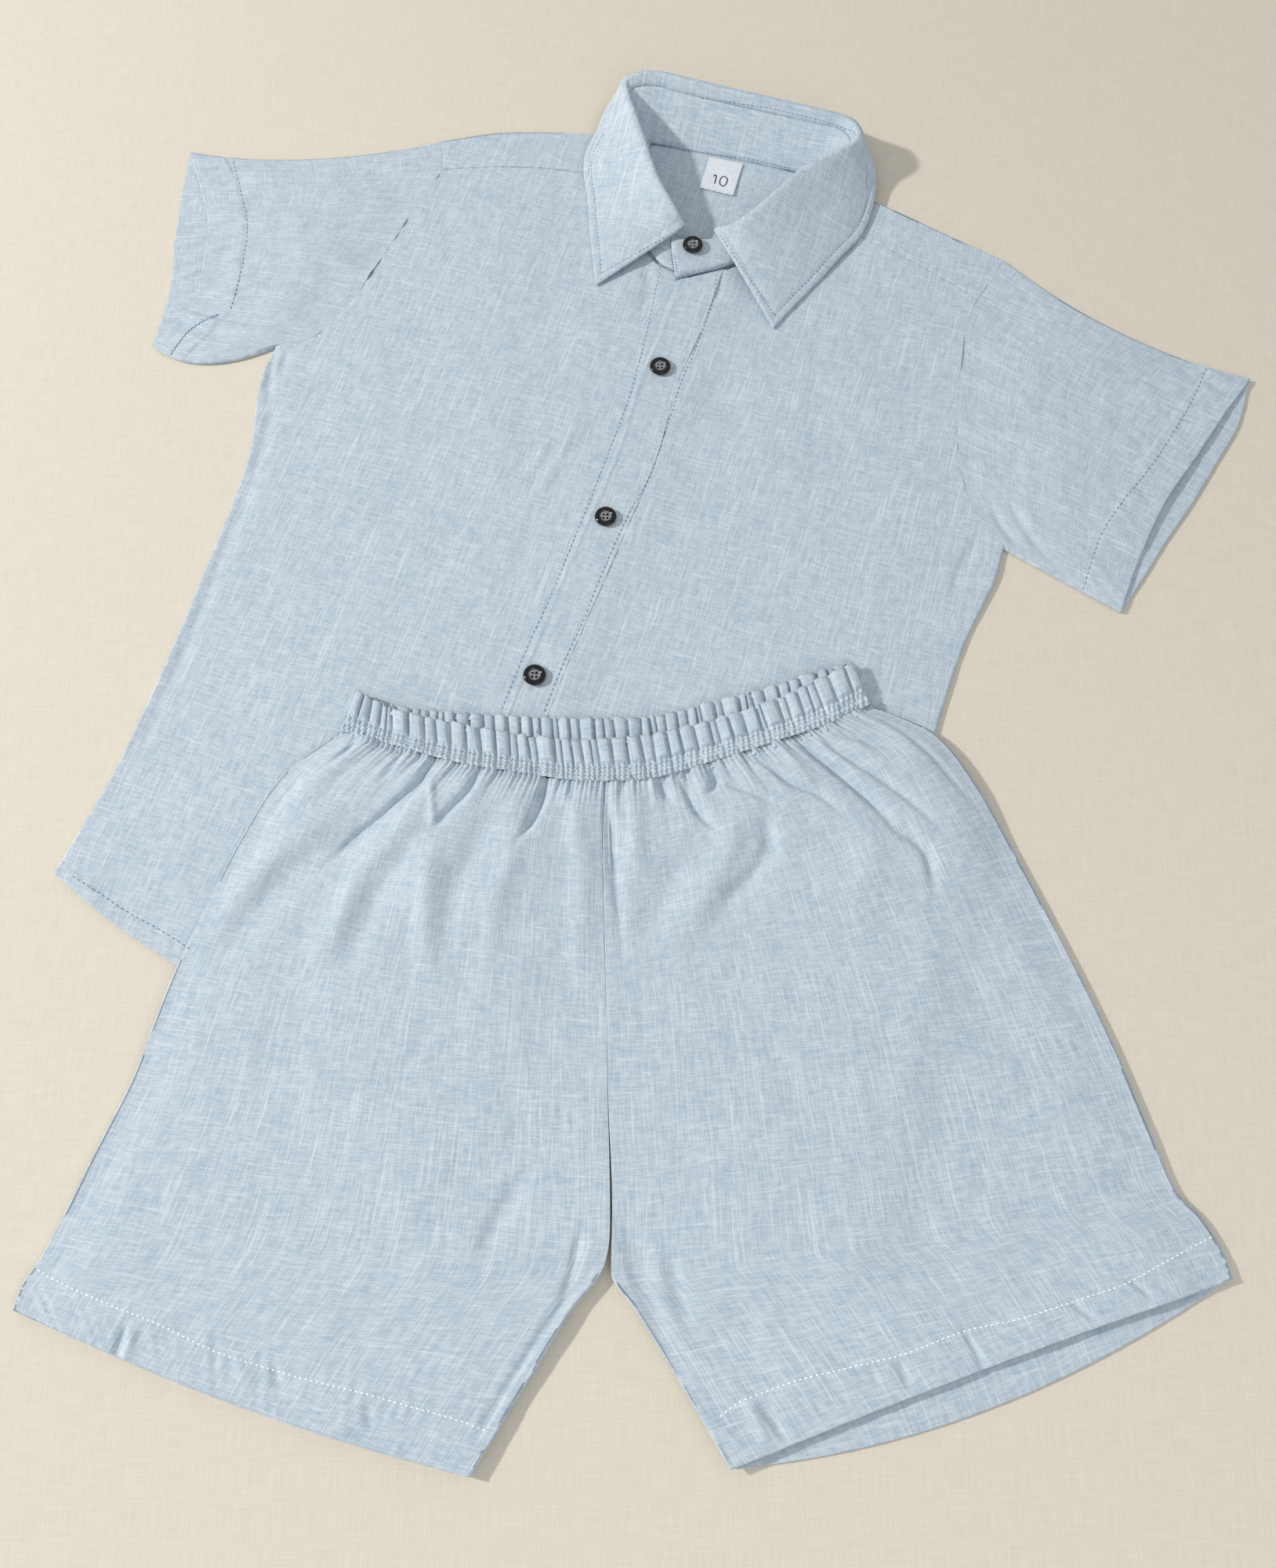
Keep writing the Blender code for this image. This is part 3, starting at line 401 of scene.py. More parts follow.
# Stitches: a thread's rings as (share of its length, size, lift), and rows of them: a path where the photo
# shows it at a height, in the shirt's frame or the set's, and how the thread lies along it
THREAD_HEIGHT = 0.22
STITCH_SIDES = 6
STITCH_RINGS = ((0.0, 0.45, -0.6), (0.15, 0.9, 0.35), (0.5, 1.0, 0.6), (0.85, 0.9, 0.35), (1.0, 0.45, -0.6))
Row = namedtuple("Row", "path pitch length width zigzag on_shirt height", defaults=(0.0, True, 0.0))
BLUE_ROWS = (
    Row(((-302, -12), (-285, -37), (-273, -57), (-266, -78), (-261, -100), (-257, -121)), 3.4, 2.4, 0.5),
    Row(((318, 16), (315, -2), (311, -21), (304, -45), (295, -71), (285, -95), (278, -117), (275, -142),
         (274, -158)), 3.4, 2.4, 0.5),
    Row(((-31, 127), (-3, 130), (18, 132), (38, 132), (57, 131), (73, 128)), 3.0, 2.2, 0.4),
    Row(((-45, 80), (-33, 82), (-18, 83), (0, 85), (12, 87), (33, 87), (49, 87)), 3.0, 2.2, 0.4),
    Row(((-16.2, -12), (-13.9, -31), (-11.1, -53), (-7.4, -91), (-6.2, -115), (-6.7, -170), (-8.1, -218),
         (-8.9, -248), (-10.9, -273), (-12.7, -321)), 3.2, 2.1, 0.45),
    Row(((19.3, -10), (21.4, -25), (22, -44), (21.3, -68), (20, -92), (21, -122), (20.3, -165),
         (17.1, -184), (15.5, -203), (13.8, -229), (13.1, -257), (10.6, -286), (9.9, -306),
         (9.8, -330)), 3.2, 2.1, 0.5),
    Row(((-194, -474), (-174, -479), (-159, -483), (-138, -487), (-118, -492)), 3.2, 2.3, 0.5),
    Row(((-260, -128), (-266, -134), (-273, -146), (-275, -156), (-276, -164)), 1.4, 1.6, 0.6, 0.7,
        height=4.0),
    Row(((-12, -4), (-7, -15), (-3, -23)), 2.4, 1.8, 0.5, height=4.0),
    Row(((-10, -4), (-5, -15), (-1, -22)), 2.4, 1.8, 0.5, height=4.0),
    Row(((-3, -21), (10, -12), (22, -1)), 2.4, 1.8, 0.45, height=4.0),
)
PALE_ROWS = (
    Row(((-279, -238), (-272, -242), (-256, -249), (-237, -256), (-215, -264), (-191, -274),
         (-174, -279), (-147, -286), (-124, -291), (-100, -297), (-80, -302), (-68, -306)),
        2.6, 1.5, 0.9, on_shirt=False, height=6.0),
    Row(((36, -301), (45, -295), (56, -291), (72, -286), (94, -281), (121, -275), (147, -266),
         (176, -260), (203, -252), (223, -246), (246, -235), (267, -225)),
        2.6, 1.5, 0.9, on_shirt=False, height=6.0),
)
SIZE_ROWS = (
    Row(((-4.6, 66.4), (-3.6, 68.0), (-2.4, 61.0)), 0.5, 0.7, 0.8),
    Row(((2.2, 68.6), (0.3, 66.6), (0.7, 62.2), (2.8, 60.4), (4.6, 62.6), (4.4, 66.8), (2.2, 68.6)),
        0.5, 0.7, 0.8),
)


# Curves through tables

def through(knots, values, at):
    """A smooth curve through the values at the knots, level where the values turn back."""
    knots = np.asarray(knots, float)
    values = np.asarray(values, float)
    at = np.clip(np.asarray(at, float), knots[0], knots[-1])
    slopes = np.gradient(values, knots, axis=0)
    rises = np.diff(values, axis=0)
    slopes[1:-1][rises[1:] * rises[:-1] <= 0] = 0.0
    low = np.clip(np.searchsorted(knots, at, side="right") - 1, 0, len(knots) - 2)
    step = knots[low + 1] - knots[low]
    t = (at - knots[low]) / step
    shape = t.shape + (1,) * (values.ndim - 1)
    t, step = t.reshape(shape), step.reshape(shape)
    return (
        (2 * t**3 - 3 * t**2 + 1) * values[low]
        + (t**3 - 2 * t**2 + t) * step * slopes[low]
        + (3 * t**2 - 2 * t**3) * values[low + 1]
        + (t**3 - t**2) * step * slopes[low + 1]
    )


def travel_along(line):
    """How far along each point of a flat line lies."""
    return np.concatenate(([0.0], np.cumsum(np.hypot(*np.diff(line, axis=0).T))))


def soft_step(t):
    """0 below 0, 1 above 1, and smooth between."""
    t = np.clip(t, 0.0, 1.0)
    return t * t * (3 - 2 * t)


def bell(distance, width):
    """1 at no distance, and falling off smoothly over about the width."""
    return np.exp(-((distance / width) ** 2))


def row_places(rows):
    """How far down the panel each row of a table lies, from the mean travel of its two ends."""
    table = np.array(rows, float)
    travel = np.hypot(np.diff(table[:, 0]), np.diff(table[:, 1]))
    travel += np.hypot(np.diff(table[:, 2]), np.diff(table[:, 3]))
    return np.concatenate(([0.0], np.cumsum(travel / 2)))


def steps_with(length, cell, lines=()):
    """Even steps from 0 to the length, with closer steps beside each of the lines."""
    even = np.linspace(0, length, max(2, round(length / cell)) + 1)
    near = [line + side for line in lines for side in (-2.2, -1.2, -0.5, 0.0, 0.5, 1.2, 2.2)]
    if near:
        clear = np.min(np.abs(even[:, None] - np.array(near)), axis=1) > 0.45
        clear[[0, -1]] = True
        even = np.sort(np.concatenate((even[clear], near)))
    return even[(even >= 0) & (even <= length)]


def panel(rows, cell, hem_lines=()):
    """A panel's places: x, y, how far across from 0 to 1, and how far down in millimetres."""
    table = np.array(rows, float)
    places = row_places(rows)
    width = np.hypot(table[:, 2] - table[:, 0], table[:, 3] - table[:, 1]).max()
    down = steps_with(places[-1], cell, [places[-1] - line for line in hem_lines])
    ends = through(places, table, down)
    q = np.linspace(0, 1, round(width / cell) + 1)
    x = ends[:, [0]] * (1 - q) + ends[:, [2]] * q
    y = ends[:, [1]] * (1 - q) + ends[:, [3]] * q + ends[:, [4]] * 4 * q * (1 - q)
    across = np.broadcast_to(q, x.shape)
    return x, y, across, np.broadcast_to(down[:, None], x.shape)


def place_shirt(points):
    """The shirt's own frame to the set's frame."""
    x, y = points[..., 0], points[..., 1]
    turned = np.array(points, float)
    turned[..., 0] = SHIRT_AT[0] + x * math.cos(SHIRT_TURN) + y * math.sin(SHIRT_TURN)
    turned[..., 1] = SHIRT_AT[1] - x * math.sin(SHIRT_TURN) + y * math.cos(SHIRT_TURN)
    return turned


def shirt_frame(x, y):
    """A point of the set's frame, seen in the shirt's own frame."""
    across, up = x - SHIRT_AT[0], y - SHIRT_AT[1]
    turned_x = across * math.cos(SHIRT_TURN) - up * math.sin(SHIRT_TURN)
    turned_y = across * math.sin(SHIRT_TURN) + up * math.cos(SHIRT_TURN)
    return turned_x, turned_y


# Relief

def drift(x, y, size, seed):
    """Soft uneven swells of about one size, between -1 and 1."""
    dice = np.random.default_rng(seed)
    total = np.zeros(np.shape(x))
    for _ in range(9):
        turn = dice.uniform(0, math.pi)
        wave = size * dice.uniform(0.6, 1.7)
        phase = dice.uniform(0, 2 * math.pi)
        along = (x * math.cos(turn) + y * math.sin(turn)) * 2 * math.pi / wave
        bend = np.sin((y * math.cos(turn) - x * math.sin(turn)) * 2 * math.pi / (wave * 2.3) + phase)
        total = total + np.sin(along + phase + 0.9 * bend)
    return total / 4.5


def crease_height(x, y, creases):
    """The sum of the ridges and troughs along the creases' paths."""
    total = np.zeros(np.shape(x))
    for crease in creases:
        path = np.array(crease.path, float)
        fine = through(np.arange(len(path)), path, np.linspace(0, len(path) - 1, 8 * len(path)))
        reach = 3 * max(crease.left, crease.right)
        low, high = fine.min(axis=0) - reach, fine.max(axis=0) + reach
        near = (x > low[0]) & (x < high[0]) & (y > low[1]) & (y < high[1])
        if not near.any():
            continue
        px, py = x[near], y[near]
        best = np.full(px.shape, FAR)
        side = np.zeros(px.shape)
        along = np.zeros(px.shape)
        for step in range(len(fine) - 1):
            run = fine[step + 1] - fine[step]
            length = np.hypot(*run) + TINY
            t = np.clip(((px - fine[step, 0]) * run[0] + (py - fine[step, 1]) * run[1]) / length**2, 0, 1)
            away_x, away_y = px - fine[step, 0] - t * run[0], py - fine[step, 1] - t * run[1]
            away = np.hypot(away_x, away_y)
            closer = away < best
            best = np.where(closer, away, best)
            side = np.where(closer, run[0] * away_y - run[1] * away_x, side)
            along = np.where(closer, (step + t) / (len(fine) - 1), along)
        width = np.where(side > 0, crease.left, crease.right)
        fade = (0.35 + 0.65 * soft_step(along / 0.25)) * soft_step((1.0 - along) / 0.45 + 0.12)
        total[near] += crease.height * fade * bell(best, width)
    return total


# Meshes

Shell = namedtuple("Shell", "points faces grain")


def add_object(name, mesh, material):
    """A smooth object in the scene, of one material, that stays with the one body."""
    mesh.materials.append(material)
    mesh.shade_smooth()
    thing = bpy.data.objects.new(name, mesh)
    bpy.context.collection.objects.link(thing)
    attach(thing, "root")
    return thing


def make_piece(name, shells, material):
    """One mesh object from shells in millimetres; a shell's grain is each point's place on the cloth."""
    points = np.concatenate([np.asarray(shell.points, float).reshape(-1, 3) for shell in shells])
    points[:, :2] -= SET_MIDDLE
    faces = []
    offset = 0
    for shell in shells:
        faces += [tuple(corner + offset for corner in face) for face in shell.faces]
        offset += len(shell.points)
    mesh = bpy.data.meshes.new(name)
    mesh.from_pydata((points * MM).tolist(), [], faces)
    grain = np.concatenate([np.asarray(shell.grain, float).reshape(-1, 2) for shell in shells])
    corners = np.empty(len(mesh.loops), np.int32)
    mesh.loops.foreach_get("vertex_index", corners)
    layer = mesh.uv_layers.new(name="Grain")
    layer.data.foreach_set("uv", (grain * MM)[corners].ravel())
    return add_object(name, mesh, material)


def unit(vectors):
    """The directions of the vectors."""
    return vectors / (np.linalg.norm(vectors, axis=-1, keepdims=True) + TINY)


def grid_faces(rows, columns, turned):
    """The cells of a grid of points, as seen from above or, turned, from below."""
    faces = [
        (r * columns + c, r * columns + c + 1, (r + 1) * columns + c + 1, (r + 1) * columns + c)
        for r in range(rows - 1)
        for c in range(columns - 1)
    ]
    return [face[::-1] for face in faces] if turned else faces


def border(rows, columns):
    """The indices round a grid's border: along the top, down the right, and back."""
    top = [c for c in range(columns)]
    right = [r * columns + columns - 1 for r in range(1, rows)]
    bottom = [(rows - 1) * columns + c for c in range(columns - 2, -1, -1)]
    left = [r * columns for r in range(rows - 2, 0, -1)]
    return np.array(top + right + bottom + left)


def lying_shell(points, grain, edges):
    """A sheet whose border rounds over and under; edges are the radii (top, right, bottom, left)."""
    rows, columns = points.shape[:2]
    flat = points.reshape(-1, 3).copy()
    ring = border(rows, columns)
    top, right, bottom, left = (np.broadcast_to(edge, (size,)) for edge, size in zip(
        edges, (columns, rows, columns, rows)))
    radius = np.concatenate((top, right[1:], bottom[-2::-1], left[-2:0:-1])).astype(float)
    rim = flat[ring]
    ahead, behind = np.roll(rim, -1, axis=0), np.roll(rim, 1, axis=0)
    along = unit(unit((rim - behind)[:, :2]) + unit((ahead - rim)[:, :2]))
    area = np.sum(rim[:, 0] * ahead[:, 1] - ahead[:, 0] * rim[:, 1])
    turn = 1 if area > 0 else -1
    outward = np.stack((along[:, 1], -along[:, 0]), axis=-1) * turn
    loops = []
    for inset, drop, under in (
        (0.5, 0.13, 0), (0.13, 0.5, 0), (0.0, 1.0, 0), (0.29, 1.71, 0), (1.0, 2.0, 0), (1.0, 2.0, 3.0),
    ):
        moved = rim.copy()
        moved[:, :2] -= outward * (radius * inset + under)[:, None]
        moved[:, 2] -= radius * drop
        loops.append(moved)
    flat[ring, :2] -= outward * radius[:, None]
    uv = np.asarray(grain, float).reshape(-1, 2)
    faces = grid_faces(rows, columns, False)
    count = len(ring)
    numbers = [ring] + [len(flat) + k * count + np.arange(count) for k in range(len(loops))]
    for inner, outer in zip(numbers, numbers[1:]):
        for k in range(count):
            beside = (k + 1) % count
            faces.append((int(inner[beside]), int(inner[k]), int(outer[k]), int(outer[beside])))
    if turn < 0:
        faces = [face[::-1] for face in faces]
    return Shell(np.concatenate([flat] + loops), faces, np.concatenate([uv] + [uv[ring]] * len(loops)))


def tangents(points):
    """Along a grid's first axis, the mean direction of the two steps that meet at each point."""
    steps = unit(np.diff(points, axis=0))
    return np.concatenate((steps[:1], steps[1:] + steps[:-1], steps[-1:]))


def grid_normals(points):
    """Unit normals of a grid of points."""
    across = tangents(points.transpose(1, 0, 2)).transpose(1, 0, 2)
    return unit(np.cross(across, tangents(points)))


def thick_shell(middle, normal, half, grain):
    """A closed cloth wall on both sides of a grid of points, with a rounded rim."""
    rows, columns = middle.shape[:2]
    outer, inner = middle + normal * half, middle - normal * half
    ring = border(rows, columns)
    flat = middle.reshape(-1, 3)
    rim = flat[ring]
    spread = unit(np.roll(rim, -1, axis=0) - np.roll(rim, 1, axis=0))
    out = unit(np.cross(spread, normal.reshape(-1, 3)[ring]))
    centre = flat.mean(axis=0)
    if np.sum(out * (rim - centre)) < 0:
        out = -out
    edge = rim + out * half * 0.8
    count = rows * columns
    faces = grid_faces(rows, columns, False)
    faces += [tuple(count + corner for corner in face[::-1]) for face in faces]
    for k in range(len(ring)):
        a, b = int(ring[k]), int(ring[(k + 1) % len(ring)])
        c, d = 2 * count + k, 2 * count + (k + 1) % len(ring)
        faces.append((b, a, c, d))
        faces.append((count + a, count + b, d, c))
    uv = np.asarray(grain, float).reshape(-1, 2)
    points = np.concatenate((outer.reshape(-1, 3), inner.reshape(-1, 3), edge))
    return Shell(points, faces, np.concatenate((uv, uv, uv[ring])))


# Materials

def feed(tree, socket, value):
    """Link another socket to this one, or give it a constant."""
    if isinstance(value, bpy.types.NodeSocket):
        tree.links.new(value, socket)
    else:
        socket.default_value = value


def node(tree, kind, inputs, **settings):
    """A shader node with its settings, and its inputs set from a dictionary."""
    made = tree.nodes.new(kind)
    for key, value in settings.items():
        setattr(made, key, value)
    for key, value in inputs.items():
        feed(tree, made.inputs[key], value)
    return made


def new_material(name):
    """A material, its node tree and its shader."""
    material = bpy.data.materials.new(name)
    material.use_nodes = True
    return material, material.node_tree, material.node_tree.nodes["Principled BSDF"]


def threshold(tree, value, low, high):
    """0 below the low value, 1 above the high one."""
    made = node(tree, "ShaderNodeMapRange", interpolation_type="SMOOTHSTEP", inputs={
        "Value": value, "From Min": low, "From Max": high,
    })
    return made.outputs["Result"]


def strong_noise(tree, place, low, high):
    """Noise at the place, kept only where it is strong."""
    noise = node(tree, "ShaderNodeTexNoise", noise_dimensions="2D", inputs={
        "Vector": place, "Scale": 1.0, "Detail": 1.0, "Roughness": 0.5,
    })
    return threshold(tree, noise.outputs["Fac"], low, high)


def streaks(tree, place, across, along, low, high, seed):
    """Yarns that show: noise drawn out along one way of the cloth."""
    moved = node(tree, "ShaderNodeMapping", inputs={
        "Vector": place, "Scale": (across, along, 1.0), "Location": (seed * 3.7, seed * 1.9, seed * 2.3),
    })
    return strong_noise(tree, moved.outputs["Vector"], low, high)


def yarns(tree, across, along, pitch, length, low, high, seed):
    """Single yarns: each strip of cloth one pitch wide has its own thick and thin stretches."""
    number = combine(tree, "FLOOR", combine(tree, "DIVIDE", across, pitch), 0.0)
    own = combine(tree, "ADD", combine(tree, "MULTIPLY", number, 7.31), seed * 3.7)
    spot = node(tree, "ShaderNodeCombineXYZ", inputs={
        "X": own, "Y": combine(tree, "DIVIDE", along, length),
    })
    return strong_noise(tree, spot.outputs["Vector"], low, high)


def mix(tree, factor, first, second):
    """The first colour where the factor is 0, the second where it is 1."""
    made = node(tree, "ShaderNodeMix", {}, data_type="RGBA", blend_type="MIX")
    for key, value in (("Factor_Float", factor), ("A_Color", first), ("B_Color", second)):
        feed(tree, next(socket for socket in made.inputs if socket.identifier == key), value)
    return next(socket for socket in made.outputs if socket.identifier == "Result_Color")


def combine(tree, operation, first, second):
    """Two values or sockets put together by a sum, product or the like."""
    return node(tree, "ShaderNodeMath", {0: first, 1: second}, operation=operation).outputs["Value"]


def cloth_place(tree):
    """The place on the cloth, along its grain, in metres."""
    return node(tree, "ShaderNodeUVMap", {}, uv_map="Grain").outputs["UV"]


def bump(tree, height, strength, distance):
    """Relief too fine for the mesh."""
    inputs = {"Strength": strength, "Distance": distance, "Height": height}
    return node(tree, "ShaderNodeBump", inputs).outputs["Normal"]


def set_surface(tree, shader, **values):
    """The shader's inputs, by their names with low lines for spaces."""
    for key, value in values.items():
        feed(tree, shader.inputs[key.replace("_", " ")], value)


def slub_cloth(name, seed):
    """Light-blue plain weave: blue and pale yarns both ways, and long pale slubs, most of them lengthwise."""
    material, tree, shader = new_material(name)
    place = cloth_place(tree)
    split = node(tree, "ShaderNodeSeparateXYZ", {"Vector": place}).outputs
    x, y = split["X"], split["Y"]
    warp = yarns(tree, x, y, 0.0005, 0.010, 0.30, 0.70, seed + 1)
    weft = yarns(tree, y, x, 0.0005, 0.007, 0.30, 0.70, seed + 2)
    thick_warp = yarns(tree, x, y, 0.0011, 0.040, 0.38, 0.66, seed + 3)
    thick_weft = yarns(tree, y, x, 0.0013, 0.026, 0.38, 0.66, seed + 4)
    slub_up = yarns(tree, x, y, 0.0006, 0.055, 0.59, 0.76, seed + 5)
    slub_over = yarns(tree, y, x, 0.0006, 0.030, 0.61, 0.78, seed + 6)
    fine = combine(tree, "MULTIPLY", combine(tree, "ADD", warp, weft), 0.40)
    broad = combine(tree, "MULTIPLY", combine(tree, "ADD", thick_warp, thick_weft), 0.10)
    mixed = combine(tree, "ADD", fine, broad)
    slubs = combine(tree, "MAXIMUM", slub_up, combine(tree, "MULTIPLY", slub_over, 0.8))
    colour = mix(tree, mixed, CLOTH_BLUE, CLOTH_PALE)
    colour = mix(tree, combine(tree, "MULTIPLY", slubs, 0.34), colour, CLOTH_WHITE)
    rough = combine(tree, "ADD", combine(tree, "MULTIPLY", mixed, 0.12), 0.78)
    height = combine(tree, "ADD", mixed, combine(tree, "MULTIPLY", slubs, 0.6))
    set_surface(tree, shader, Base_Color=colour, Roughness=rough, Normal=bump(tree, height, 0.35, 0.00022),
                Sheen_Weight=0.2, Sheen_Roughness=0.45, Specular_IOR_Level=0.2)
    return material


def thread(name, colour, dark_part=0.78):
    """Sewing thread: a fine twist along it."""
    material, tree, shader = new_material(name)
    place = node(tree, "ShaderNodeTexCoord", {}).outputs["Object"]
    noise = node(tree, "ShaderNodeTexNoise", {"Vector": place, "Scale": 2600.0, "Detail": 1.0})
    dark = tuple(channel * dark_part for channel in colour[:3]) + (1.0,)
    set_surface(tree, shader, Base_Color=mix(tree, noise.outputs["Fac"], dark, colour), Roughness=0.6)
    return material


def satin_cloth():
    """Close white satin: fine ribs one way, a soft gloss."""
    material, tree, shader = new_material("white_satin")
    place = cloth_place(tree)
    ribs = streaks(tree, place, 300.0, 5200.0, 0.35, 0.65, 4)
    set_surface(tree, shader, Base_Color=mix(tree, ribs, SATIN_SHADE, SATIN_LIGHT), Roughness=0.38,
                Sheen_Weight=0.3, Normal=bump(tree, ribs, 0.3, 0.0001))
    return material


def button_material():
    """Glossy black round a smoky grey middle, with faint swirls, and four holes painted black: the button's
    own black and painted shade down the holes.
    """
    material, tree, shader = new_material("black_button")
    place = cloth_place(tree)
    length = node(tree, "ShaderNodeVectorMath", operation="LENGTH", inputs={0: place}).outputs["Value"]
    middle = node(tree, "ShaderNodeMapRange", interpolation_type="SMOOTHSTEP", inputs={
        "Value": length, "From Min": BUTTON_GREY[0], "From Max": BUTTON_GREY[1], "To Min": 1.0, "To Max": 0.0,
    }).outputs["Result"]
    folded = node(tree, "ShaderNodeVectorMath", operation="ABSOLUTE", inputs={0: place}).outputs["Vector"]
    off = BUTTON_HOLE_OFF * math.sqrt(0.5) * MM
    hole = node(tree, "ShaderNodeVectorMath", operation="DISTANCE", inputs={
        0: folded, 1: (off, off, 0.0),
    }).outputs["Value"]
    # In the four holes the colour goes to black: the button's own black and painted shade down the holes
    clear = threshold(tree, hole, 0.0005, 0.0008)
    swirl = streaks(tree, place, 260.0, 420.0, 0.3, 0.7, 6)
    grey = mix(tree, swirl, BUTTON_DARK_GREY, BUTTON_LIGHT_GREY)
    middle = combine(tree, "MULTIPLY", middle, clear)
    rough = combine(tree, "ADD", combine(tree, "MULTIPLY", middle, 0.25), 0.1)
    set_surface(tree, shader, Base_Color=mix(tree, middle, BUTTON_BLACK_AND_HOLE_SHADE, grey), Roughness=rough)
    return material


# Shirt

def shirt_relief(x, y, seed):
    """The small unevenness of pressed cloth that lies flat."""
    broad = 0.45 * drift(x, y, 85, seed) + 0.2 * drift(x, y, 26, seed + 1)
    return broad + 0.06 * drift(x, y, 8, seed + 2) + crease_height(x, y, SHIRT_CREASES)


def ripple(along, size, seed):
    """Uneven waves of about one size along a line, between -1 and 1."""
    dice = np.random.default_rng(seed)
    total = np.zeros(np.shape(along))
    for _ in range(7):
        wave = size * dice.uniform(0.6, 1.8)
        total = total + np.sin(along * 2 * math.pi / wave + dice.uniform(0, 2 * math.pi))
    return total / 3.5


def hem_relief(from_edge, along, turn, rise, seed):
    """A turned-up hem: doubled cloth below its stitches, a groove along them and small puckers across."""
    band = rise * soft_step((turn + 1.0 - from_edge) / 1.5)
    groove = -0.5 * rise * bell(from_edge - turn, 0.8)
    near = bell(from_edge - turn * 0.8, turn * 0.8)
    pucker = 0.28 * near * ripple(along + 0.6 * from_edge, 9.0, seed)
    return band + groove + pucker


def seam_pucker(from_seam, along, rise, seed):
    """Small ridges that run off a seam."""
    return rise * np.exp(-np.abs(from_seam) / 5.0) * ripple(along, 8.0, seed)


def stack(x, y, z):
    """Points from their three coordinates."""
    return np.stack((x, y, z * np.ones_like(x)), axis=-1)


def shirt_shell(x, y, z, edges):
    """A lying sheet given in the shirt's frame; its grain runs up the shirt."""
    return lying_shell(place_shirt(stack(x, y, z)), np.stack((x, y), axis=-1), edges)


def seam_x(y):
    """Where the placket meets the left front, at a height y up the shirt."""
    table = np.array(PLACKET, float)[::-1]
    return through(table[:, 3], table[:, 2], y)


def placket_rise(x, y):
    """The left front climbs to just under the placket, which is over the right front."""
    return (LAYER - 0.2) * (1 - soft_step((x - seam_x(y)) / 26))


def side_radius(y, underarm):
    """The side seam rolls over onto the back; the armhole above it is a plain seam."""
    return np.where(y < underarm, SIDE_ROLL, SEAM_ROLL)


def front_panels():
    """Places of the right and left fronts; the left front goes a little way under the placket's seam."""
    right = panel(RIGHT_FRONT, FRONT_CELL, (HEM_TURN,))
    x, y, across, down = panel(LEFT_FRONT, FRONT_CELL, (HEM_TURN,))
    x = x.copy()
    beside = y[:, 0] <= PLACKET[0].right_y
    x[beside, 0] = seam_x(y[beside, 0]) - 1.6
    return right, (x, y, across, down)


def front_top(places, lift, side_pucker, seed):
    """The height of a front's face: flat pressed cloth, its hem, and puckers at its seams."""
    x, y, across, down = places
    top = lift + CLOTH + shirt_relief(x, y, seed)
    top = top + hem_relief(down.max() - down, x, HEM_TURN, 0.35, seed + 1)
    top = top + seam_pucker(down, x, 0.22, seed + 2)
    return top + seam_pucker(across * FRONT_WIDTH, y, side_pucker, seed + 3)


def make_fronts(cloth):
    """Both fronts; the left one climbs towards the placket."""
    right, left = front_panels()
    x, y, *_ = right
    edges = (SEAM_ROLL, SEAM_ROLL, HEM_ROLL, side_radius(y[:, 0], RIGHT_FRONT[6].left_y))
    shell = shirt_shell(x, y, front_top(right, LAYER, 0.16, 11), edges)
    right_front = make_piece("right_front", [shell], cloth)
    x, y, *_ = left
    edges = (SEAM_ROLL, side_radius(y[:, -1], LEFT_FRONT[6].right_y), HEM_ROLL, SEAM_ROLL)
    shell = shirt_shell(x, y, front_top(left, LAYER + placket_rise(x, y), 0.14, 21), edges)
    left_front = make_piece("left_front", [shell], cloth)
    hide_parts("shirt_front_right")
    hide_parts("shirt_front_left")
    return [right_front, left_front]


def make_placket(cloth):
    """The button band: a folded edge at its left, and grooves along its rows of stitches."""
    x, y, across, _ = panel(PLACKET, PLACKET_CELL)
    over = across * PLACKET_WIDTH
    top = 2 * LAYER + CLOTH + 0.12 * drift(x, y, 40, 31) + 0.05 * drift(x, y, 9, 32)
    top = top + 0.3 * bell(over - PLACKET_FOLD, 1.3)
    for line in PLACKET_GROOVES:
        top = top - 0.16 * bell(over - line, 0.6)
    top = top + 0.12 * np.exp(-(PLACKET_WIDTH - over) / 4) * ripple(y, 7, 33)
    edges = (SEAM_ROLL, CENTRE_ROLL, HEM_ROLL, 0.55)
    band = make_piece("placket", [shirt_shell(x, y, top, edges)], cloth)
    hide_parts("shirt_placket")
    return band


def make_back(cloth):
    """The plain layer under the fronts."""
    x, y, _, down = panel(BACK, BACK_CELL, (HEM_TURN,))
    top = CLOTH + hem_relief(down.max() - down, x, HEM_TURN, 0.2, 41)
    back = make_piece("back", [shirt_shell(x, y, top, (SEAM_ROLL,) * 4)], cloth)
    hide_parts("shirt_back")
    return back


def shoulder_line(shoulder, count):
    """Places along a shoulder's fold, from its table."""
    table = np.array(shoulder, float)
    return through(np.linspace(0, 1, len(table)), table, np.linspace(0, 1, count))


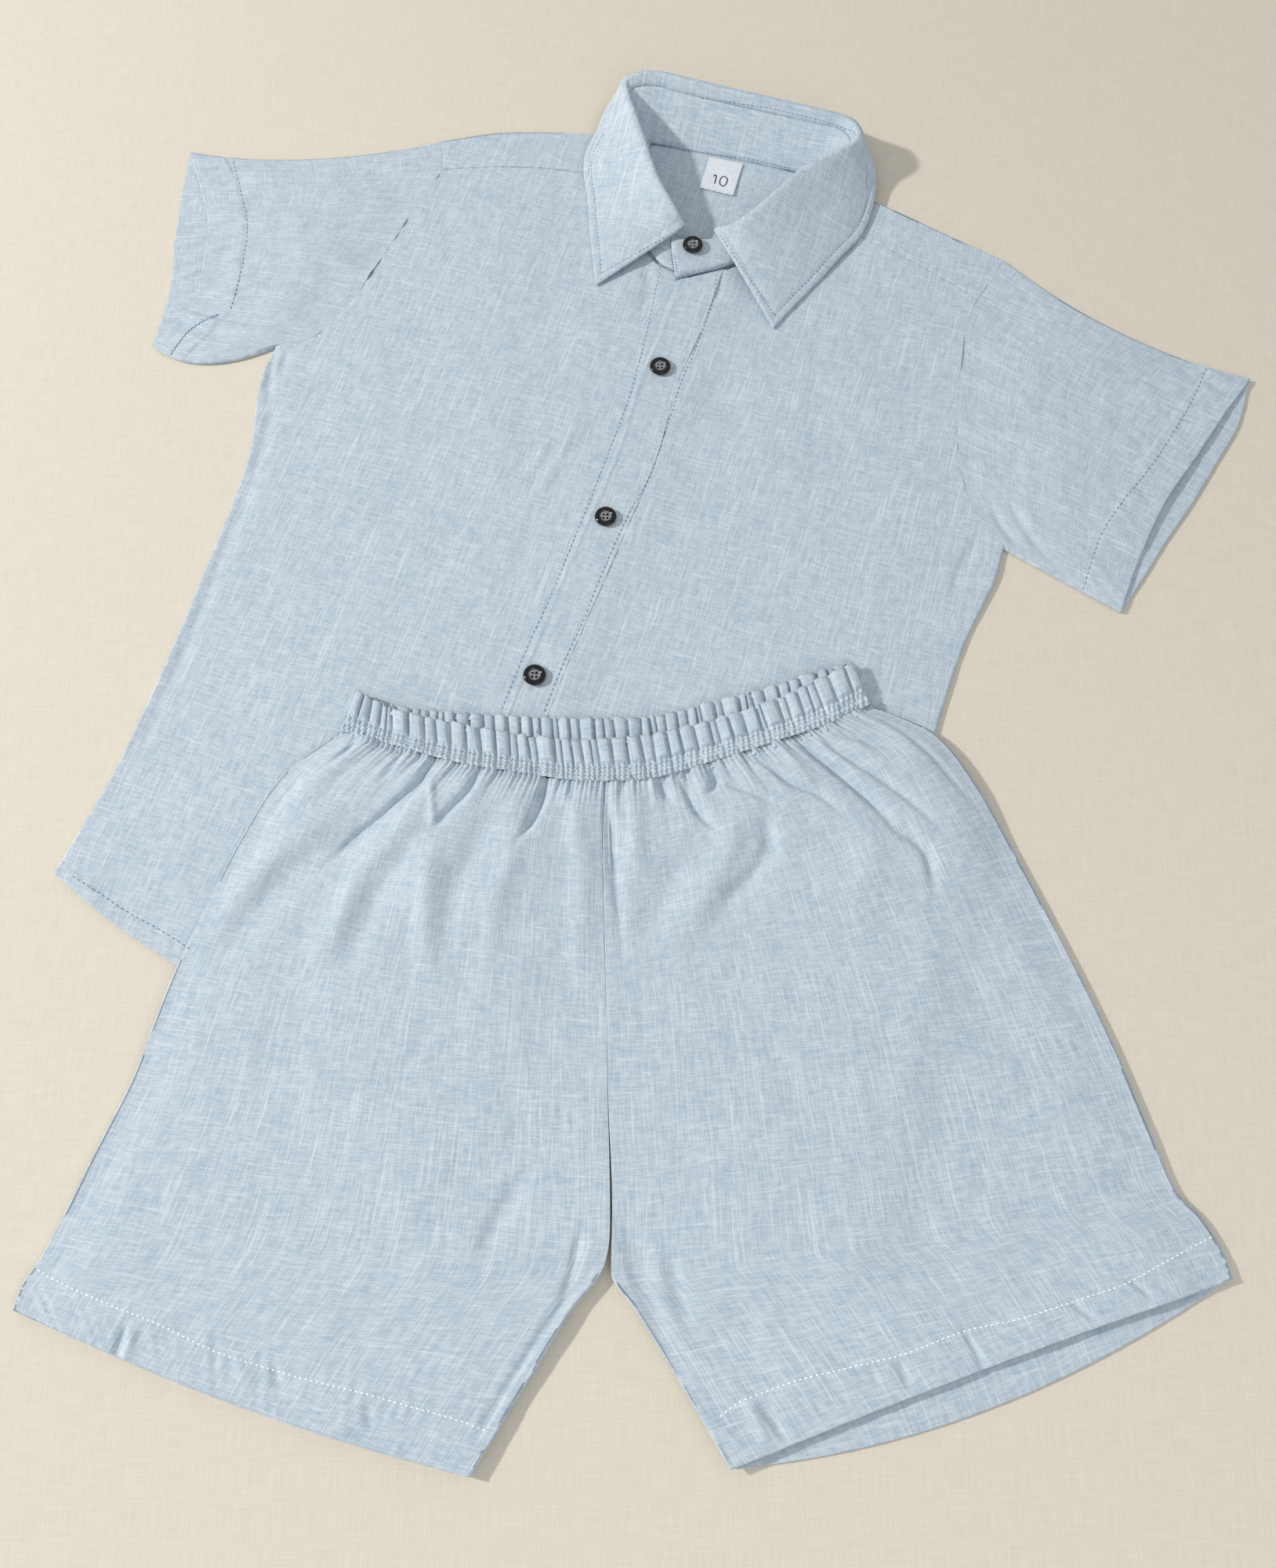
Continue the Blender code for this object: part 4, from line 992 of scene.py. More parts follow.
def make_yoke(cloth):
    """A flap over each shoulder, from its fold down to the seam in front, and the back layer between."""
    right, left = front_panels()
    shells = []
    for (x, y, *_), shoulder, seed in ((right, RIGHT_SHOULDER, 51), (left, LEFT_SHOULDER, 54)):
        fold = shoulder_line(shoulder, x.shape[1])
        q = np.linspace(0, 1, 26)[:, None]
        flap_x = fold[:, 0] * (1 - q) + x[0] * q
        flap_y = fold[:, 1] * (1 - q) + (y[0] + GAP) * q
        length = np.hypot(fold[:, 0] - x[0], fold[:, 1] - y[0])
        top = LAYER + CLOTH + 0.3 * drift(flap_x, flap_y, 60, seed)
        top = top + seam_pucker((1 - q) * length, flap_x, 0.3, seed + 1)
        shells.append(shirt_shell(flap_x, flap_y, top, (SIDE_ROLL, SEAM_ROLL, YOKE_ROLL, SEAM_ROLL)))
    line = np.concatenate((
        shoulder_line(RIGHT_SHOULDER, 40) - (0, 1.5),
        shoulder_line(((-50, 80), (0, 83), (52, 84)), 40)[1:-1],
        shoulder_line(LEFT_SHOULDER, 40) - (0, 1.5),
    ))
    q = np.linspace(0, 1, 40)[:, None]
    low_x = np.linspace(YOKE_BACK.left_x, YOKE_BACK.right_x, len(line))
    back_x = line[:, 0] * (1 - q) + low_x * q
    back_y = line[:, 1] * (1 - q) + YOKE_BACK.left_y * q
    top = CLOTH + 0.08 * drift(back_x, back_y, 30, 57)
    shells.append(shirt_shell(back_x, back_y, top, (SEAM_ROLL,) * 4))
    yoke = make_piece("yoke", shells, cloth)
    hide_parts("shirt_yoke")
    return yoke


def arm_line(side, count):
    """The armhole on the front, from the shoulder fold to the underarm, in even steps."""
    x, y, *_ = front_panels()[side]
    column = -1 if side else 0
    fold = (LEFT_SHOULDER[-1], RIGHT_SHOULDER[0])[0 if side else 1]
    low = (RIGHT_FRONT[6].left_y, LEFT_FRONT[6].right_y)[side]
    edge = np.stack((x[:, column], y[:, column]), axis=-1)
    line = np.concatenate(([[fold.x, fold.y]], edge[edge[:, 1] >= low - 0.01]))
    travel = travel_along(line)
    even = np.linspace(0, travel[-1], count)
    return np.stack([np.interp(even, travel, line[:, k]) for k in (0, 1)], axis=-1)


def make_sleeve(name, node_name, rows, side, creases, seed, cloth):
    """A flattened tube: the front layer rolls over at both folds onto the back layer."""
    outward = 1 if side else -1
    table = np.array(rows, float)
    arm = arm_line(side, SLEEVE_ROWS)
    w = np.linspace(0, 1, SLEEVE_ROWS)
    at = through(np.linspace(0, 1, len(table)), table, w)
    sag = SLEEVE_FOLD_SAG[side] * (1 - w) ** 12 + SLEEVE_UNDER_SAG[side] * w**12
    puff = 4 * w * (1 - w)
    shells = []
    for hem, height, cell in ((0, LAYER + CLOTH, 1.6), (2, CLOTH, 3.0)):
        lengths = np.hypot(at[:, hem] - arm[:, 0], at[:, hem + 1] - arm[:, 1])
        reach = lengths.max()
        down = steps_with(reach, cell, (reach - SLEEVE_HEM_TURN,))
        t = (down / reach)[None, :]
        x = (arm[:, [0]] - outward * 0.3) * (1 - t) + at[:, [hem]] * t
        y = arm[:, [1]] * (1 - t) + at[:, [hem + 1]] * t + sag[:, None] * 4 * t * (1 - t)
        z = height * np.ones_like(x)
        along = w[:, None] * SLEEVE_ROUND * np.ones_like(x)
        if hem == 0:
            rise = soft_step(t / 0.5) * (1 - 0.4 * soft_step((t - 0.6) / 0.4))
            z = z + SLEEVE_LOFT * puff[:, None] * rise
            ease = np.minimum(1.0, puff * 2)[:, None]
            z = z + ease * (0.7 * drift(x, y, 55, seed) + 0.3 * drift(x, y, 20, seed + 1))
            z = z + 0.3 * np.exp(-down[None, :] / 7) * ripple(along, 9, seed + 2)
            z = z + crease_height(x, y, creases) * np.minimum(1.0, puff * 8)[:, None]
        z = z + hem_relief((1 - t) * lengths[:, None], along, SLEEVE_HEM_TURN, 0.4, seed + 3)
        fold = SIDE_ROLL if hem == 0 else SEAM_ROLL
        grain = np.stack((along, np.broadcast_to(t * reach, x.shape)), axis=-1)
        edges = (fold, HEM_ROLL, fold, CENTRE_ROLL)
        shells.append(lying_shell(place_shirt(stack(x, y, z)), grain, edges))
    sleeve = make_piece(name, shells, cloth)
    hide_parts(node_name)
    return sleeve


def make_sleeves(cloth):
    """Both sleeves, each with its own creases."""
    sleeves = [
        make_sleeve("right_sleeve", "sleeve_right", RIGHT_SLEEVE, 0, RIGHT_SLEEVE_CREASES, 81, cloth),
        make_sleeve("left_sleeve", "sleeve_left", LEFT_SLEEVE, 1, LEFT_SLEEVE_CREASES, 86, cloth),
    ]
    return sleeves


# Collar

def stand_seam(station):
    """Where the stand ends and the fall begins: a share of the roll's height below it."""
    if station.edge is None:
        return station.top
    if station.seam is not None:
        return station.seam
    neck, top = np.array(station.neck, float), np.array(station.top, float)
    return top + (neck - top) * SEAM_DROP * top[2] / np.linalg.norm(neck - top)


def collar_line(places, per_station):
    """A smooth line through one place of each station, read at even steps between them."""
    values = np.array(places, float)
    travel = np.concatenate(([0.0], np.cumsum(np.linalg.norm(np.diff(values, axis=0), axis=-1))))
    steps = np.linspace(0, len(values) - 1, (len(values) - 1) * per_station + 1)
    return through(travel, values, np.interp(steps, np.arange(len(values)), travel))


def run_length(points, axis):
    """How far along each point lies, over the given axis of a grid."""
    step = np.linalg.norm(np.diff(points, axis=axis), axis=-1)
    total = np.cumsum(step, axis=axis)
    first = np.zeros_like(np.take(total, [0], axis=axis))
    return np.concatenate((first, total), axis=axis)


def collar_shell(middle, relief):
    """A thick piece of the collar; its grain runs straight, as cut."""
    normal = grid_normals(middle)
    moved = middle + normal * relief[..., None]
    return thick_shell(place_shirt(moved), turned_normal(normal), COLLAR_CLOTH / 2, middle[..., :2])


def turned_normal(normal):
    """A direction of the shirt's frame in the set's frame."""
    return place_shirt(normal) - place_shirt(np.zeros(3))


def make_stand(cloth):
    """The standing band, from under the neck seam up to where the fall begins."""
    neck = collar_line([station.neck for station in COLLAR], 10)
    seam = collar_line([stand_seam(station) for station in COLLAR], 10)
    t = np.linspace(0, 1, 14)[:, None, None]
    tucked = neck.copy()
    tucked[:, 2] = np.minimum(neck[:, 2] - NECK_TUCK, 2 * LAYER + CLOTH)
    middle = np.concatenate(([tucked], neck + (seam - neck) * t))
    along = run_length(middle, 1)
    relief = 0.12 * ripple(along, 14, 61) * np.ones_like(along)
    stand = make_piece("stand", [collar_shell(middle, relief)], cloth)
    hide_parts("collar_stand")
    return stand


def fall_sheet():
    """The fall's middle sheet, from its seam over the roll to its outer edge, and its first row outside."""
    stations = COLLAR[1:-1]
    seam = collar_line([stand_seam(station) for station in stations], 12)
    roll = collar_line([station.top for station in stations], 12)
    edge = collar_line([station.edge for station in stations], 12)
    rise, drop = unit(roll - seam), unit(edge - roll)
    along = unit(tangents(roll))
    over = rise - drop
    over = unit(over - along * np.sum(over * along, axis=-1, keepdims=True))
    across = np.cross(over, along)
    lines = [seam + rise * FALL_FOOT, (seam + roll) / 2 + rise * 0.2 - across * ROLL_RADIUS * 0.55]
    for turn in ROLL_TURNS:
        angle = math.radians(turn)
        lines.append(roll + ROLL_RADIUS * (across * math.cos(angle) + over * (math.sin(angle) - 1)))
    leaf_first = len(lines)
    for t in np.linspace(0.05, 1.0, LEAF_ROWS):
        loose = ROLL_RADIUS * (1 - soft_step(t / 0.5))
        lines.append(roll + (edge - roll) * t + over * FALL_CROWN * 4 * t * (1 - t) + across * loose)
    return np.stack(lines), leaf_first


def fall_relief(middle, leaf_first):
    """The fall's unevenness: a groove along its stitches, a fuller rim outside them and small puckers."""
    from_edge = run_length(middle[::-1], 0)[::-1]
    length = run_length(middle, 1)
    from_front = np.minimum(length, length[:, -1:] - length)
    inside = np.minimum(from_edge, from_front)
    relief = 0.25 * drift(length, from_edge, 38, 62) * soft_step(from_front / 25)
    relief = relief - 0.4 * bell(inside - LEAF_STITCH, 0.9)
    relief = relief + 0.2 * soft_step((LEAF_STITCH - inside) / 1.5)
    near = bell(inside - LEAF_STITCH, 2.5)
    relief = relief + 0.1 * near * ripple(length + from_edge, 6, 63)
    relief[:leaf_first] *= 0.3
    return relief


def make_fall(cloth):
    """The fall, which rolls over the stand and lies down outside it."""
    middle, leaf_first = fall_sheet()
    fall = make_piece("fall", [collar_shell(middle, fall_relief(middle, leaf_first))], cloth)
    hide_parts("collar_fall")
    return fall


def make_label(satin):
    """The white label at the neck, folded at its lower edge."""
    x, y, _, down = panel(LABEL, LABEL_CELL)
    top = LAYER + 0.8 + 0.25 * drift(x, y, 18, 71) * soft_step(down / 6)
    top = top + 0.35 * bell(down.max() - down, 1.6)
    label = make_piece("label", [shirt_shell(x, y, top, (0.3, 0.3, 0.4, 0.3))], satin)
    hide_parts("neck_label")
    return label


# Buttons

def button_height(r, turn):
    """A raised rim, a dished middle, and four wells for the thread."""
    places, heights = np.array(BUTTON_PROFILE).T
    height = np.interp(r, places, heights)
    x, y = r * np.cos(turn), r * np.sin(turn)
    for hole in range(4):
        angle = math.radians(45 + 90 * hole)
        off = np.hypot(x - BUTTON_HOLE_OFF * math.cos(angle), y - BUTTON_HOLE_OFF * math.sin(angle))
        height = height - 1.1 * (1 - soft_step((off - 0.45) / 0.35))
    return height


def make_buttons(glossy):
    """Each button with its own slight tilt, the top one on the stand's tab."""
    rings = np.concatenate((np.linspace(0.06, 3.0, 26), np.linspace(3.2, BUTTON_ACROSS / 2, 18)))
    for number, (x, y) in enumerate(BUTTON_PLACES, start=1):
        low = (STAND_TOP if number == 1 else 2 * LAYER + CLOTH) + GAP
        centre = place_shirt(np.array((x, y, low), float))
        turn = np.linspace(0, 2 * math.pi, BUTTON_SIDES + 1)[None, :]
        r = rings[:, None] * np.ones_like(turn)
        points = stack(r * np.cos(turn), r * np.sin(turn), button_height(r, turn))
        wall = [(BUTTON_ACROSS / 2 - 0.25, 0.6), (BUTTON_ACROSS / 2 - 1.4, 0.0)]
        lower = [stack(k * np.cos(turn), k * np.sin(turn), h)[0] for k, h in wall]
        points = np.concatenate((points, np.array(lower)))
        grain = points[..., :2].copy()
        tilt = 0.03 * math.sin(3.0 * number)
        points[..., 2] += tilt * points[..., 0] + 0.25
        faces = grid_faces(*points.shape[:2], True)
        shell = Shell((points + centre).reshape(-1, 3), faces, grain.reshape(-1, 2))
        button = make_piece(f"shirt_button_{number}", [shell], glossy)
        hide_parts(f"button_{number}")


# Shorts

def support(x, y):
    """The height that the shorts' underside has: on the shirt, its placket and its last button."""
    sx, sy = shirt_frame(x, y)
    beyond_side = np.maximum(np.abs(sx - SHIRT_AXIS_X) - SHIRT_HALF_WIDTH, 0)
    beyond_hem = np.maximum(SHIRT_HEM_Y - sy, 0)
    beyond = np.hypot(beyond_side, beyond_hem)
    height = SHIRT_STACK * (1 - soft_step((beyond - EDGE_CLEAR) / EDGE_SLOPE))
    off_placket = np.hypot(np.maximum(np.abs(sx - PLACKET_AXIS_X) - PLACKET_HALF_WIDTH, 0), beyond_hem)
    height = height + LAYER * (1 - soft_step((off_placket - EDGE_CLEAR) / EDGE_SLOPE))
    button_x, button_y = BUTTON_PLACES[-1]
    off_button = np.hypot(sx - button_x, sy - button_y)
    return height + HIDDEN_BUTTON_RISE * (1 - soft_step((off_button - HIDDEN_BUTTON_CLEAR) / EDGE_SLOPE))


def waist_seam(x):
    """The seam between the shorts' legs and their waistband."""
    table = np.array(WAIST, float)
    return through(table[:, 0], table[:, 1], x)


def leg_panel(rows, cell):
    """A leg's places, from the waist seam down."""
    x, y, across, down = panel(rows, cell, (SHORTS_HEM_TURN,))
    y = y.copy()
    y[0] = waist_seam(x[0]) - GAP
    return x, y, across, down


def gathers(across, down, waist_width, seed):
    """Small folds that run down from the gathered seam and fade."""
    u = across * waist_width
    fine = 0.9 * np.exp(-down / 8) * np.sin(2 * math.pi * u / GATHER_PITCH + 1.5 * ripple(u, 19, seed + 5))
    small = 0.8 * bell(down, 17) * ripple(u + 0.03 * down, 7.0, seed)
    middle = 1.0 * bell(down, 30) * ripple(u + 0.05 * down, 14, seed + 1)
    return fine + small + middle


def leg_height(x, y, from_side):
    """The height of the leg's upper face without its folds."""
    waist = np.exp(np.minimum(y - 10, 0) / 45.0)
    loft = soft_step(from_side / SIDE_SHARE) * SHORTS_LOFT * (0.45 + waist)
    return support(x, y) + CLOTH + INSIDE + GAP + loft


def leg_surface(x, y, across, down, side_first, seed):
    """The height of the leg's upper face."""
    from_side = across if side_first else 1 - across
    folds = crease_height(x, y, SHORTS_CREASES) + gathers(across, down, LEG_GATHERED_WIDTH, seed)
    low = support(x, y) + CLOTH + INSIDE + GAP + 0.15
    body = leg_height(x, y, from_side) + soft_step(from_side / SIDE_SHARE) * folds
    uneven = 0.5 * drift(x, y, 70, seed + 2) + 0.22 * drift(x, y, 24, seed + 3)
    uneven = uneven + 0.07 * drift(x, y, 8, seed + 4)
    return np.maximum(body, low) + FOLDED_CLOTH + uneven * soft_step(from_side / 0.06)


def make_leg(name, node_name, rows, side_first, seed, cloth):
    """A leg's front layer; its inner edge is a plain seam down to the crotch and rolls under below it."""
    x, y, across, down = leg_panel(rows, LEG_CELL)
    if not side_first:
        x = x - 0.45 * (1 - soft_step(across * 10))
    z = leg_surface(x, y, across, down, side_first, seed)
    z = z + hem_relief(down.max() - down, across * LEG_HEM_WIDTH, SHORTS_HEM_TURN, 0.45, seed + 6)
    side = np.full(len(x), 1.5)
    inner_y = y[:, -1] if side_first else y[:, 0]
    inner = np.where(inner_y > CROTCH_Y, np.where(inner_y > UPPER_SEAM_Y, SEAM_ROLL, CENTRE_ROLL), 1.1)
    edges = (SEAM_ROLL, inner, HEM_ROLL, side) if side_first else (SEAM_ROLL, side, HEM_ROLL, inner)
    grain = np.stack((across * LEG_WIDTH, down), axis=-1)
    leg = make_piece(name, [lying_shell(stack(x, y, z), grain, edges)], cloth)
    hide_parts(node_name)
    return leg


def make_leg_back(name, node_name, rows, drop, cloth):
    """A leg's back layer: a little narrower than the front, and its hem hangs lower in the middle."""
    rows = list(rows)
    rows[-1] = rows[-1]._replace(bow=rows[-1].bow - drop)
    rows = [row._replace(left_x=row.left_x + BACK_INSET, right_x=row.right_x - BACK_INSET) for row in rows]
    x, y, across, down = leg_panel(rows, BACK_CELL)
    hem = hem_relief(down.max() - down, across * LEG_HEM_WIDTH, SHORTS_HEM_TURN, 0.2, 91)
    z = support(x, y) + CLOTH + hem
    grain = np.stack((across * LEG_WIDTH, down), axis=-1)
    leg = make_piece(name, [lying_shell(stack(x, y, z), grain, (SEAM_ROLL,) * 4)], cloth)
    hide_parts(node_name)
    return leg


def uneven_waves(waves, start, end, seed):
    """Places across the waistband where one wave meets the next."""
    dice = np.random.default_rng(seed)
    widths = dice.uniform(0.55, 1.6, waves)
    edges = np.concatenate(([0.0], np.cumsum(widths)))
    return start + (end - start) * edges / edges[-1]


def band_gathers(u, wave, v, seed):
    """Height of the gathered casing: flat-topped ruffles above, fine zigzag gathers between the rows."""
    dice = np.random.default_rng(seed)
    number = np.clip(wave.astype(int), 0, 80)
    strength = dice.uniform(0.5, 1.2, 82)[number]
    slant = dice.uniform(-0.5, 0.5, 82)[number]
    valley = np.abs(np.cos(math.pi * wave)) ** 16
    part = wave - wave.astype(int) - 0.5
    ridge = (1 - valley) * (0.75 + 0.25 * np.cos(math.pi * part) + slant * part)
    pinch = np.zeros_like(v)
    for row in PINCH_ROWS:
        pinch = np.maximum(pinch, bell(v - row, 0.045))
    frill = soft_step((PINCH_ROWS[0] - v) / 0.12 + 0.5)
    broad = strength * ridge * (0.3 + 0.7 * frill)
    bend = 0.35 * np.sin(2 * math.pi * (v - PINCH_ROWS[0]) / 0.105) + 0.5 * ripple(u, 15, seed + 1)
    fine = (1 - frill) * (1 - 0.35 * pinch) * (0.5 + 0.5 * np.sin(2 * math.pi * u / GATHER_PITCH + 3 * bend))
    return 2.6 * WAVE_RISE * broad + 1.1 * fine - 0.5 * pinch * (1 - frill)


def make_waistband(name, node_name, top_column, waves, low, seed, cloth):
    """One side of the elastic casing, from its frilled top to the seam, where the front lies on the legs."""
    table = np.array(WAIST, float)
    front = low is on_back_band
    columns = waves * BAND_COLUMNS + 1
    wave = np.linspace(0, waves, columns)
    meets = uneven_waves(waves, table[0, 0], table[-1, 0], seed)
    x = np.interp(wave, np.arange(waves + 1), meets)
    seam = waist_seam(x) + (-0.9 if front else GAP)
    top = through(table[:, 0], table[:, top_column], x)
    places, leans = np.array(WAIST_LEAN, float).T
    lean = np.interp(x, places, leans)
    v = np.linspace(0, 1, BAND_ROWS)[:, None]
    sway = 1.1 * ripple(x, 17, seed + 2) * (1 - v) ** 1.5
    grid_x = x + lean * (1 - v) + sway
    grid_y = top * (1 - v) + seam * v + 0.6 * ripple(x, 6, seed + 3) * (1 - v) ** 3
    v = v * np.ones_like(grid_x)
    wave = wave * np.ones_like(grid_x)
    floor = low(grid_x, grid_y) + 0.1
    if front:
        from_end = np.minimum(grid_x - table[0, 0], table[-1, 0] - grid_x) / 240
        on_leg = leg_height(grid_x, grid_y, np.clip(from_end, 0, 1)) + 0.3
        floor = floor + (np.maximum(on_leg, floor) - floor) * soft_step((v - 0.55) / 0.45)
    z = floor + band_gathers(grid_x, wave, v, seed) + FOLDED_CLOTH
    grain = np.stack((wave * 11.0, v * 34.0), axis=-1)
    band = make_piece(name, [lying_shell(stack(grid_x, grid_y, z), grain, (0.7, 0.7, 0.3, 0.7))], cloth)
    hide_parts(node_name)
    return band


def on_back_band(x, y):
    """The height of the back band's upper face, which the front band lies on."""
    return support(x, y) + FOLDED_CLOTH + 2 * 1.1 * WAVE_RISE + GAP


def make_shorts(cloth):
    """The four leg panels and the two sides of the waist's casing."""
    return [
        make_leg("leg_front_right", "shorts_front_right", RIGHT_LEG, True, 101, cloth),
        make_leg("leg_front_left", "shorts_front_left", LEFT_LEG, False, 111, cloth),
        make_leg_back("leg_back_right", "shorts_back_right", RIGHT_LEG, RIGHT_BACK_HEM_DROP, cloth),
        make_leg_back("leg_back_left", "shorts_back_left", LEFT_LEG, LEFT_BACK_HEM_DROP, cloth),
        make_waistband("band_back", "waistband_back", 3, BACK_WAVES, support, 121, cloth),
        make_waistband("band_front", "waistband_front", 2, FRONT_WAVES, on_back_band, 131, cloth),
    ]


# Stitches

def surface_of(things):
    """Everything that thread can lie on, for rays to find."""
    points, faces = [], []
    for thing in things:
        offset = len(points)
        points += [vertex.co.copy() for vertex in thing.data.vertices]
        faces += [tuple(corner + offset for corner in polygon.vertices) for polygon in thing.data.polygons]
    return BVHTree.FromPolygons(points, faces)


def camera_place():
    """Where the photo was taken from."""
    lean = math.sin(CAMERA_TILT) * CAMERA_REACH
    return Vector((-SET_MIDDLE[0], -SET_MIDDLE[1] - lean, math.cos(CAMERA_TILT) * CAMERA_REACH)) * MM


def seen(surface, x, y, height):
    """Where the photo shows the place x, y at a height: on the first cloth in that line of sight."""
    eye = camera_place()
    target = Vector((x - SET_MIDDLE[0], y - SET_MIDDLE[1], height)) * MM
    place, normal, *_ = surface.ray_cast(eye, (target - eye).normalized())
    if place is None:
        return None
    if normal.z < 0:
        normal = -normal
    return place, normal


def capsule(start, end, normal, width, height):
    """One stitch: a flattened thread whose ends go into the cloth."""
    along = (end - start)
    length = along.length
    if length < 1e-6:
        return [], []
    along /= length
    side = normal.cross(along).normalized()
    up = along.cross(side).normalized()
    points, faces = [], []
    sides = STITCH_SIDES
    for t, size, lift in STITCH_RINGS:
        centre = start.lerp(end, t) + up * height * lift
        for k in range(sides):
            angle = 2 * math.pi * k / sides
            points.append(centre + side * (width / 2 * size * math.cos(angle))
                          + up * (height / 2 * size * math.sin(angle)))
    last = len(STITCH_RINGS) - 1
    for ring in range(last):
        for k in range(sides):
            beside = (k + 1) % sides
            faces.append((ring * sides + k, ring * sides + beside,
                          (ring + 1) * sides + beside, (ring + 1) * sides + k))
    faces.append(tuple(reversed(range(sides))))
    faces.append(tuple(range(last * sides, (last + 1) * sides)))
    return points, faces


def even_path(path, pitch):
    """Places along a smooth path, and the direction there, at an even pitch."""
    path = np.array(path, float)
    travel = travel_along(path)
    fine = np.linspace(0, travel[-1], max(8, int(travel[-1])))
    line = through(travel, path, fine)
    run = travel_along(line)
    at = np.arange(pitch / 2, run[-1], pitch)
    places, ahead, behind = (
        np.stack([np.interp(at + step, run, line[:, k]) for k in (0, 1)], axis=-1) for step in (0, 0.3, -0.3)
    )
    return places, unit(ahead - behind)


def leaf_rows():
    """The topstitch of each collar leaf: along its front edge and round its outer edge, a little inside."""
    rows = []
    for stations in (COLLAR[1:-1], COLLAR[-2:0:-1]):
        front, ahead = stations[0], stations[1]
        corner, roll = np.array(front.edge[:2], float), np.array(front.top[:2], float)
        outer = np.array([station.edge[:2] for station in stations[:7]], float)
        inward = np.array(ahead.edge[:2], float) - corner
        inward = inward / np.hypot(*inward) * LEAF_STITCH
        up = (roll - corner) / np.hypot(*(roll - corner))
        rows.append(Row((tuple(corner + inward + up * LEAF_STITCH), tuple((corner + roll) / 2 + inward),
                         tuple(roll + inward)), 3.0, 2.1, 0.4, height=6.0))
        inside = []
        for place, station in zip(outer, stations):
            way = np.array(station.top[:2], float) - place
            inside.append(tuple(place + way / np.hypot(*way) * LEAF_STITCH))
        inside[0] = tuple(corner + inward + up * LEAF_STITCH)
        rows.append(Row(tuple(inside), 3.0, 2.1, 0.4, height=5.0))
    return tuple(rows)


def thread_row(surface, rows, name, material):
    """All stitches of one thread, joined in one piece."""
    points, faces = [], []
    dice = np.random.default_rng(len(name))
    for row in rows:
        places, direction = even_path(row.path, row.pitch)
        for number, (place, run) in enumerate(zip(places, direction)):
            aside = np.array((-run[1], run[0]))
            half = run * row.length / 2 * dice.uniform(0.85, 1.1)
            swing = aside * row.zigzag * (1 if number % 2 else -1)
            jog = aside * dice.uniform(-0.08, 0.08)
            ends = []
            for end in (place - half - swing + jog, place + half + swing + jog):
                spot = np.array((end[0], end[1], 0.0))
                if row.on_shirt:
                    spot = place_shirt(spot)
                ends.append(seen(surface, spot[0], spot[1], row.height))
            if None in ends or (ends[0][0] - ends[1][0]).length > 2.2 * (row.length + 2 * row.zigzag) * MM:
                continue
            made, cells = capsule(ends[0][0], ends[1][0], ends[0][1], row.width * MM, THREAD_HEIGHT * MM)
            faces += [tuple(corner + len(points) for corner in cell) for cell in cells]
            points += made
    mesh = bpy.data.meshes.new(name)
    mesh.from_pydata([tuple(point) for point in points], [], faces)
    return add_object(name, mesh, material)


def make_stitches(surface):
    """All visible thread: blue on most seams, darkened with painted shade of the needle holes it sinks into,
    pale on the shorts' hems, and the label's plain size.
    """
    blue = thread_row(surface, BLUE_ROWS + leaf_rows(), "stitches_blue", thread("blue_thread_and_hole_shade", THREAD_BLUE_AND_HOLE_SHADE))
    pale = thread_row(surface, PALE_ROWS, "stitches_pale", thread("pale_thread", THREAD_PALE, 0.9))
    size = thread_row(surface, SIZE_ROWS, "size_mark", thread("dark_thread", THREAD_DARK))


# Scene

def make_floor():
    """A flat pale cloth, very finely woven."""
    mesh = bpy.data.meshes.new("floor")
    corners = [(side * FLOOR_HALF, up * FLOOR_HALF, -FLOOR_DROP)
               for side, up in ((-1, -1), (1, -1), (1, 1), (-1, 1))]
    mesh.from_pydata(corners, [], [(0, 1, 2, 3)])
    floor = bpy.data.objects.new("floor", mesh)
    bpy.context.collection.objects.link(floor)
    material, tree, shader = new_material("pale_cloth")
    place = node(tree, "ShaderNodeTexCoord", {}).outputs["Object"]
    over = streaks(tree, place, 60.0, 1700.0, 0.3, 0.7, 1)
    up = streaks(tree, place, 1700.0, 60.0, 0.3, 0.7, 2)
    weave = combine(tree, "MULTIPLY", combine(tree, "ADD", over, up), 0.5)
    set_surface(tree, shader, Base_Color=mix(tree, weave, FLOOR_SHADE, FLOOR_LIGHT), Roughness=0.9,
                Normal=bump(tree, weave, 0.25, 0.0002))
    mesh.materials.append(material)


